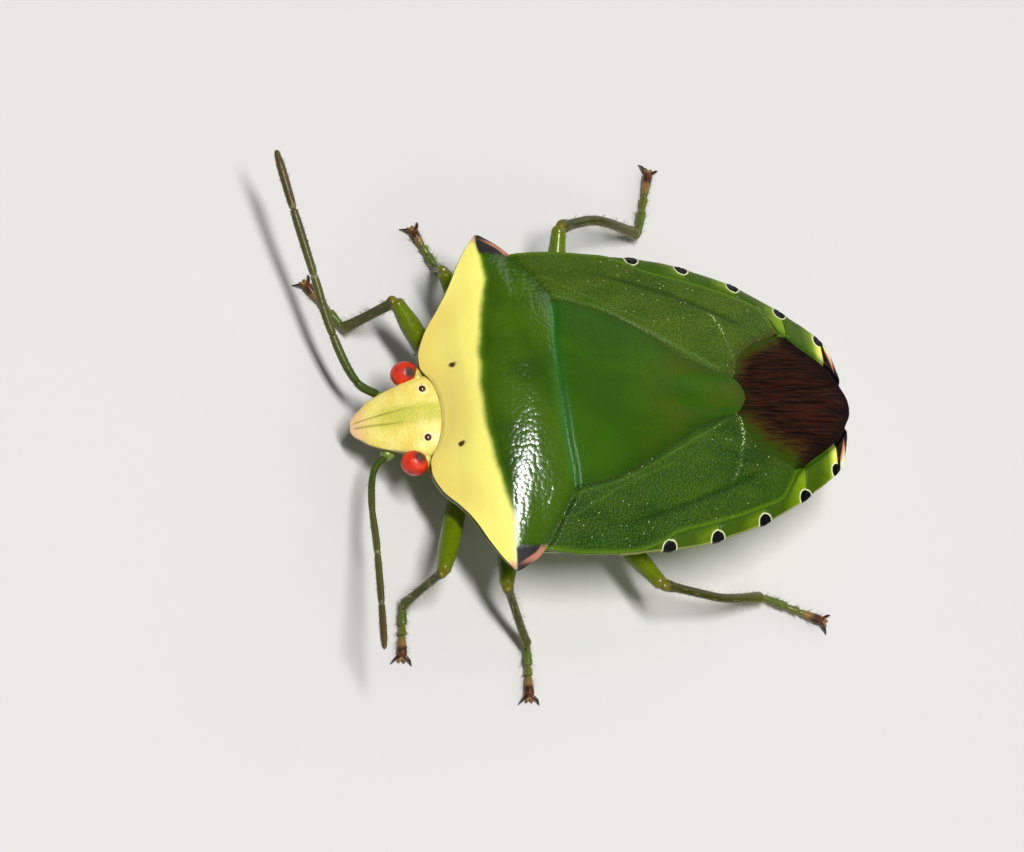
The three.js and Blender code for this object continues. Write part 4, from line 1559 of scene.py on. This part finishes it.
@dataclass
class Head:
    """Head capsule, eyes, ocelli and the folded beak."""

    half_width: Profile = Profile(
        (0, 0.0), (0.03, 0.22), (0.15, 0.42), (0.3, 0.56), (0.6, 0.84), (1.0, 1.07), (1.4, 1.24),
        (1.7, 1.34), (2.1, 1.52), (2.7, 1.62), (3.5, 1.5),
    )
    rim: Profile = Profile(
        (0, 1.72), (0.3, 1.9), (0.6, 2.1), (1, 2.3), (1.75, 2.7), (2.25, 2.9), (3.5, 3.25),
    )
    crown: Profile = Profile((0, 0.06), (0.3, 0.17), (1, 0.3), (2, 0.42), (3.5, 0.5))
    depth: Profile = Profile((0, 0.12), (0.3, 0.34), (1, 0.72), (2, 1.1), (3.5, 1.4))
    groove_line: Profile = Profile((0.05, 0.1), (1.0, 0.2), (2.3, 0.34))
    eye: Point = (1.83, 2.1, 2.76)
    eye_size: Point = (0.49, 0.55, 0.5)
    eye_turn: float = 15.0
    orbit: Spot = (1.35, 2.15)
    cheek: Point = (1.66, 2.54, 2.74)
    cheek_size: Point = (0.42, 0.24, 0.42)
    ocellus_radius: float = 0.15
    rear: float = 3.55

    def groove(self, x: float, y: float) -> float:
        """How deep one of the two fine grooves is at a place, from 0 to 1."""
        fade = clamp(8 * (y - 0.06)) * clamp(0.9 * (2.2 - y))
        return bell(abs(x) - self.groove_line(y), 0.03) * fade

    def top(self, x: float, y: float) -> float:
        """Height of the upper side at a place."""
        share = clamp(abs(x) / max(self.half_width(y), 0.01))
        lobe = 0.05 * clamp(1 - (abs(x) / max(self.groove_line(y), 0.05)) ** 4) * clamp(2.6 - y)
        orbit = 0.05 * bell(apart(x, y, self.orbit), 0.28)
        ring = 0.03 * bell(apart(x, y, PLAN.ocellus) - 0.17, 0.05)
        nape = 0.06 * smooth((y - 2.9) / 0.3)
        bumps = lobe + orbit + ring - 0.04 * self.groove(x, y) - nape
        return self.rim(y) + self.crown(y) * math.sqrt(1 - share * share) + bumps

    def capsule(self) -> Mesh:
        """The head capsule, rolled from a grid along its length."""
        mesh = bmesh.new()
        groove, below, brink = (
            mesh.verts.layers.float.new(name) for name in ("groove", "below", "brink")
        )
        bmesh.ops.create_grid(mesh, x_segments=220, y_segments=150, size=0.5)
        for vert in mesh.verts:
            angle = math.tau * (vert.co.x + 0.5)
            y = self.rear * (vert.co.y + 0.5) ** 1.6
            closing = math.sqrt(clamp((self.rear - y) / 0.12))
            c, s = math.cos(angle), math.sin(angle)
            x = c * self.half_width(y) * closing
            under = self.rim(y) - self.depth(y) * abs(s) ** 0.8 * closing
            z = lerp(self.rim(y), self.top(x, y), closing) if s > 0 else under
            vert[groove] = self.groove(x, y) if s > 0 else 0.0
            vert[below] = clamp(-s)
            # brink holds painted shade just under the rim, fading out towards the back.
            vert[brink] = bell(s + 0.15, 0.21) * clamp(2.4 - y)
            vert.co = to_frame(x, y, z)
        bmesh.ops.remove_doubles(mesh, verts=mesh.verts, dist=1e-8)
        return mesh

    def ball(
        self, mesh: Mesh, centre: Point, size: Point, segments: int, turn: float = 0.0
    ) -> None:
        """Add a round body to a mesh.

        Args:
            mesh: The mesh that takes it.
            centre: Its middle, in millimetres.
            size: Its radii, in millimetres.
            segments: How many faces lie round it.
            turn: How far it turns about the upright axis, in degrees.
        """
        shape = Matrix.Translation(to_frame(*centre)) @ Matrix.Rotation(math.radians(turn), 4, "Z")
        shape = shape @ Matrix.Diagonal((*[MM * radius for radius in size], 1.0))
        bmesh.ops.create_uvsphere(
            mesh, u_segments=segments, v_segments=segments // 2, radius=1.0, matrix=shape
        )

    def beak(self) -> list[Tube]:
        """The four parts of the folded rostrum."""
        path = Path([
            (0, 0.6, 1.7), (0, 0.95, 1.32), (0, 2.2, 1.14), (0, 4.2, 1.08), (0, 6.4, 1.02),
            (0, 8.5, 1.0),
        ])
        spans = ((0, 0.27, 0.2), (0.26, 0.55, 0.17), (0.54, 0.8, 0.16), (0.79, 1.0, 0.13))
        parts = []
        for start, end, radius in spans:
            points = [path.point(lerp(start, end, i / 4)) for i in range(5)]
            widths = ((0, 0.8), (0.5, 1.0), (0.9, 1.05), (1, 0.7))
            shape = Profile(*((at, radius * width) for at, width in widths))
            parts.append(Tube(Path(points), shape, Vector((0, 0, 1)), (start, end), rings=24))
        return parts

    def build(self) -> None:
        """Make the head and what it carries."""
        publish(self.capsule(), "head_capsule", Slot.HEAD, HeadFinish().build(), "head")
        facets = EyeFinish().build()
        gem = PlainFinish("ocellus", "5a1408", "2c0a06", 0.1, 0.9).build()
        knob = PlainFinish("antenna socket", "7f8f3a", "55661f").build()
        cheek = PlainFinish("cheek cuticle", "e0d068", "b9b044", 0.36, 0.2).build()
        lamps, knobs, cheeks = bmesh.new(), bmesh.new(), bmesh.new()
        for side in Side:
            x, y, z = self.eye
            eye = bmesh.new()
            self.ball(eye, (side.value * x, y, z), self.eye_size, 96, -side.value * self.eye_turn)
            publish(eye, f"eye_{side.word}_facets", Slot.EYE, facets, f"eye_{side.word}")
            x, y, z = self.cheek
            self.ball(cheeks, (side.value * x, y, z), self.cheek_size, 40)
            x, y = PLAN.ocellus
            radius = self.ocellus_radius
            centre = (side.value * x, y, self.top(x, y) - 0.02)
            self.ball(lamps, centre, (radius, radius, radius * 0.8), 28)
            self.ball(knobs, (side.value * 1.16, 1.34, 1.98), (0.26, 0.3, 0.24), 24)
            self.ball(knobs, (side.value * 0.36, 1.1, 1.5), (0.12, 0.75, 0.22), 24)
        publish(lamps, "ocelli", Slot.EYE, gem)
        publish(cheeks, "head_cheeks", Slot.HEAD, cheek)
        publish(knobs, "antenna_sockets", Slot.HEAD, knob)
        beak = bmesh.new()
        for part in self.beak():
            part.add_to(beak)
        brown = "5a4a20"
        colours = ((0.0, "8fa040"), (0.5, "7f8f3a"), (0.85, brown), (1.0, "1c0f08"))
        skin = LimbFinish("rostrum cuticle", colours, brown).build()
        publish(beak, "rostrum_beak", Slot.LEG, skin, "rostrum")


@dataclass(frozen=True)
class Studio:
    """Floor, lights and the camera at the photo's angle."""

    target: Point = (1.157, 5.387, 5.0)
    distance: float = 216.93
    lens: float = 200.02
    sensor: float = 36.0
    toward: Point = (0.33856, -0.33822, 0.87806)
    image_up: Point = (-0.93453, -0.00218, 0.35589)
    aim: Point = (0.0, 8.0, 4.0)
    floor_size: float = 4.0
    floor_roughness: float = 0.7
    floor_colour: Colour = (0.62, 0.61, 0.59, 1.0)
    sky: Colour = (0.95, 0.97, 1.0, 1.0)
    sky_strength: float = 0.09

    def camera(self) -> None:
        """Place the camera."""
        data = bpy.data.cameras.new("camera")
        data.lens = self.lens
        data.sensor_width = self.sensor
        data.clip_start, data.clip_end = 0.01, 20.0
        camera = stand("camera", data)
        back = Vector(self.toward).normalized()
        up = Vector(self.image_up)
        right = up.cross(back).normalized()
        up = back.cross(right)
        turn = Matrix((right, up, back)).transposed().to_4x4()
        place = to_frame(*self.target) + back * self.distance * MM
        camera.matrix_world = Matrix.Translation(place) @ turn
        bpy.context.scene.camera = camera

    def light(
        self, name: str, direction: Point, size: Point, watts: float, distance: float = 0.45,
        run: Point = (1, 0, 0),
    ) -> None:
        """Hang a soft box that faces the bug.

        Args:
            name: Its name.
            direction: Where it hangs, seen from the bug.
            size: Its width and height in metres.
            watts: Its power.
            distance: How far off it hangs, in metres.
            run: Which way its width runs.
        """
        data = bpy.data.lights.new(name, "AREA")
        data.shape = "RECTANGLE"
        data.size, data.size_y = size
        data.energy = watts
        out = Vector(direction).normalized()
        across = (Vector(run) - out * out.dot(Vector(run))).normalized()
        turn = Matrix((across, out.cross(across), out)).transposed().to_4x4()
        place = to_frame(*self.aim) + out * distance
        stand(name, data).matrix_world = Matrix.Translation(place) @ turn

    def floor(self) -> None:
        """Lay the pale floor."""
        mesh = bmesh.new()
        bmesh.ops.create_grid(mesh, x_segments=1, y_segments=1, size=self.floor_size / 2)
        material = bpy.data.materials.new("pale floor")
        material.use_nodes = True
        shader = material.node_tree.nodes["Principled BSDF"]
        shader.inputs["Base Color"].default_value = self.floor_colour
        shader.inputs["Roughness"].default_value = self.floor_roughness
        solid(mesh, "floor", material)

    def build(self) -> None:
        """Set the whole stage."""
        self.camera()
        self.floor()
        self.light("strip", (0.1, -0.075, 0.99), (0.18, 0.045), 1.8, 0.4, (0.62, 0.26, 0))
        self.light("fill", (0.8, 0.3, 0.6), (0.35, 0.35), 0.3)
        self.light("back", (-0.6, 0.8, 0.5), (0.35, 0.35), 0.45)
        bpy.context.scene.view_settings.view_transform = "Standard"
        world = bpy.data.worlds.new("studio")
        world.use_nodes = True
        background = world.node_tree.nodes["Background"]
        background.inputs["Color"].default_value = self.sky
        background.inputs["Strength"].default_value = self.sky_strength
        bpy.context.scene.world = world


def main() -> None:
    """Build the bug from its shield outwards, then the studio."""
    logging.basicConfig(level=logging.INFO, format="%(name)s %(message)s")
    for part in (Shield(), Wings(), Rim(), Underside(), Head(), Antennae(), Legs(), Studio()):
        part.build()


if __name__ == "__main__":
    main()
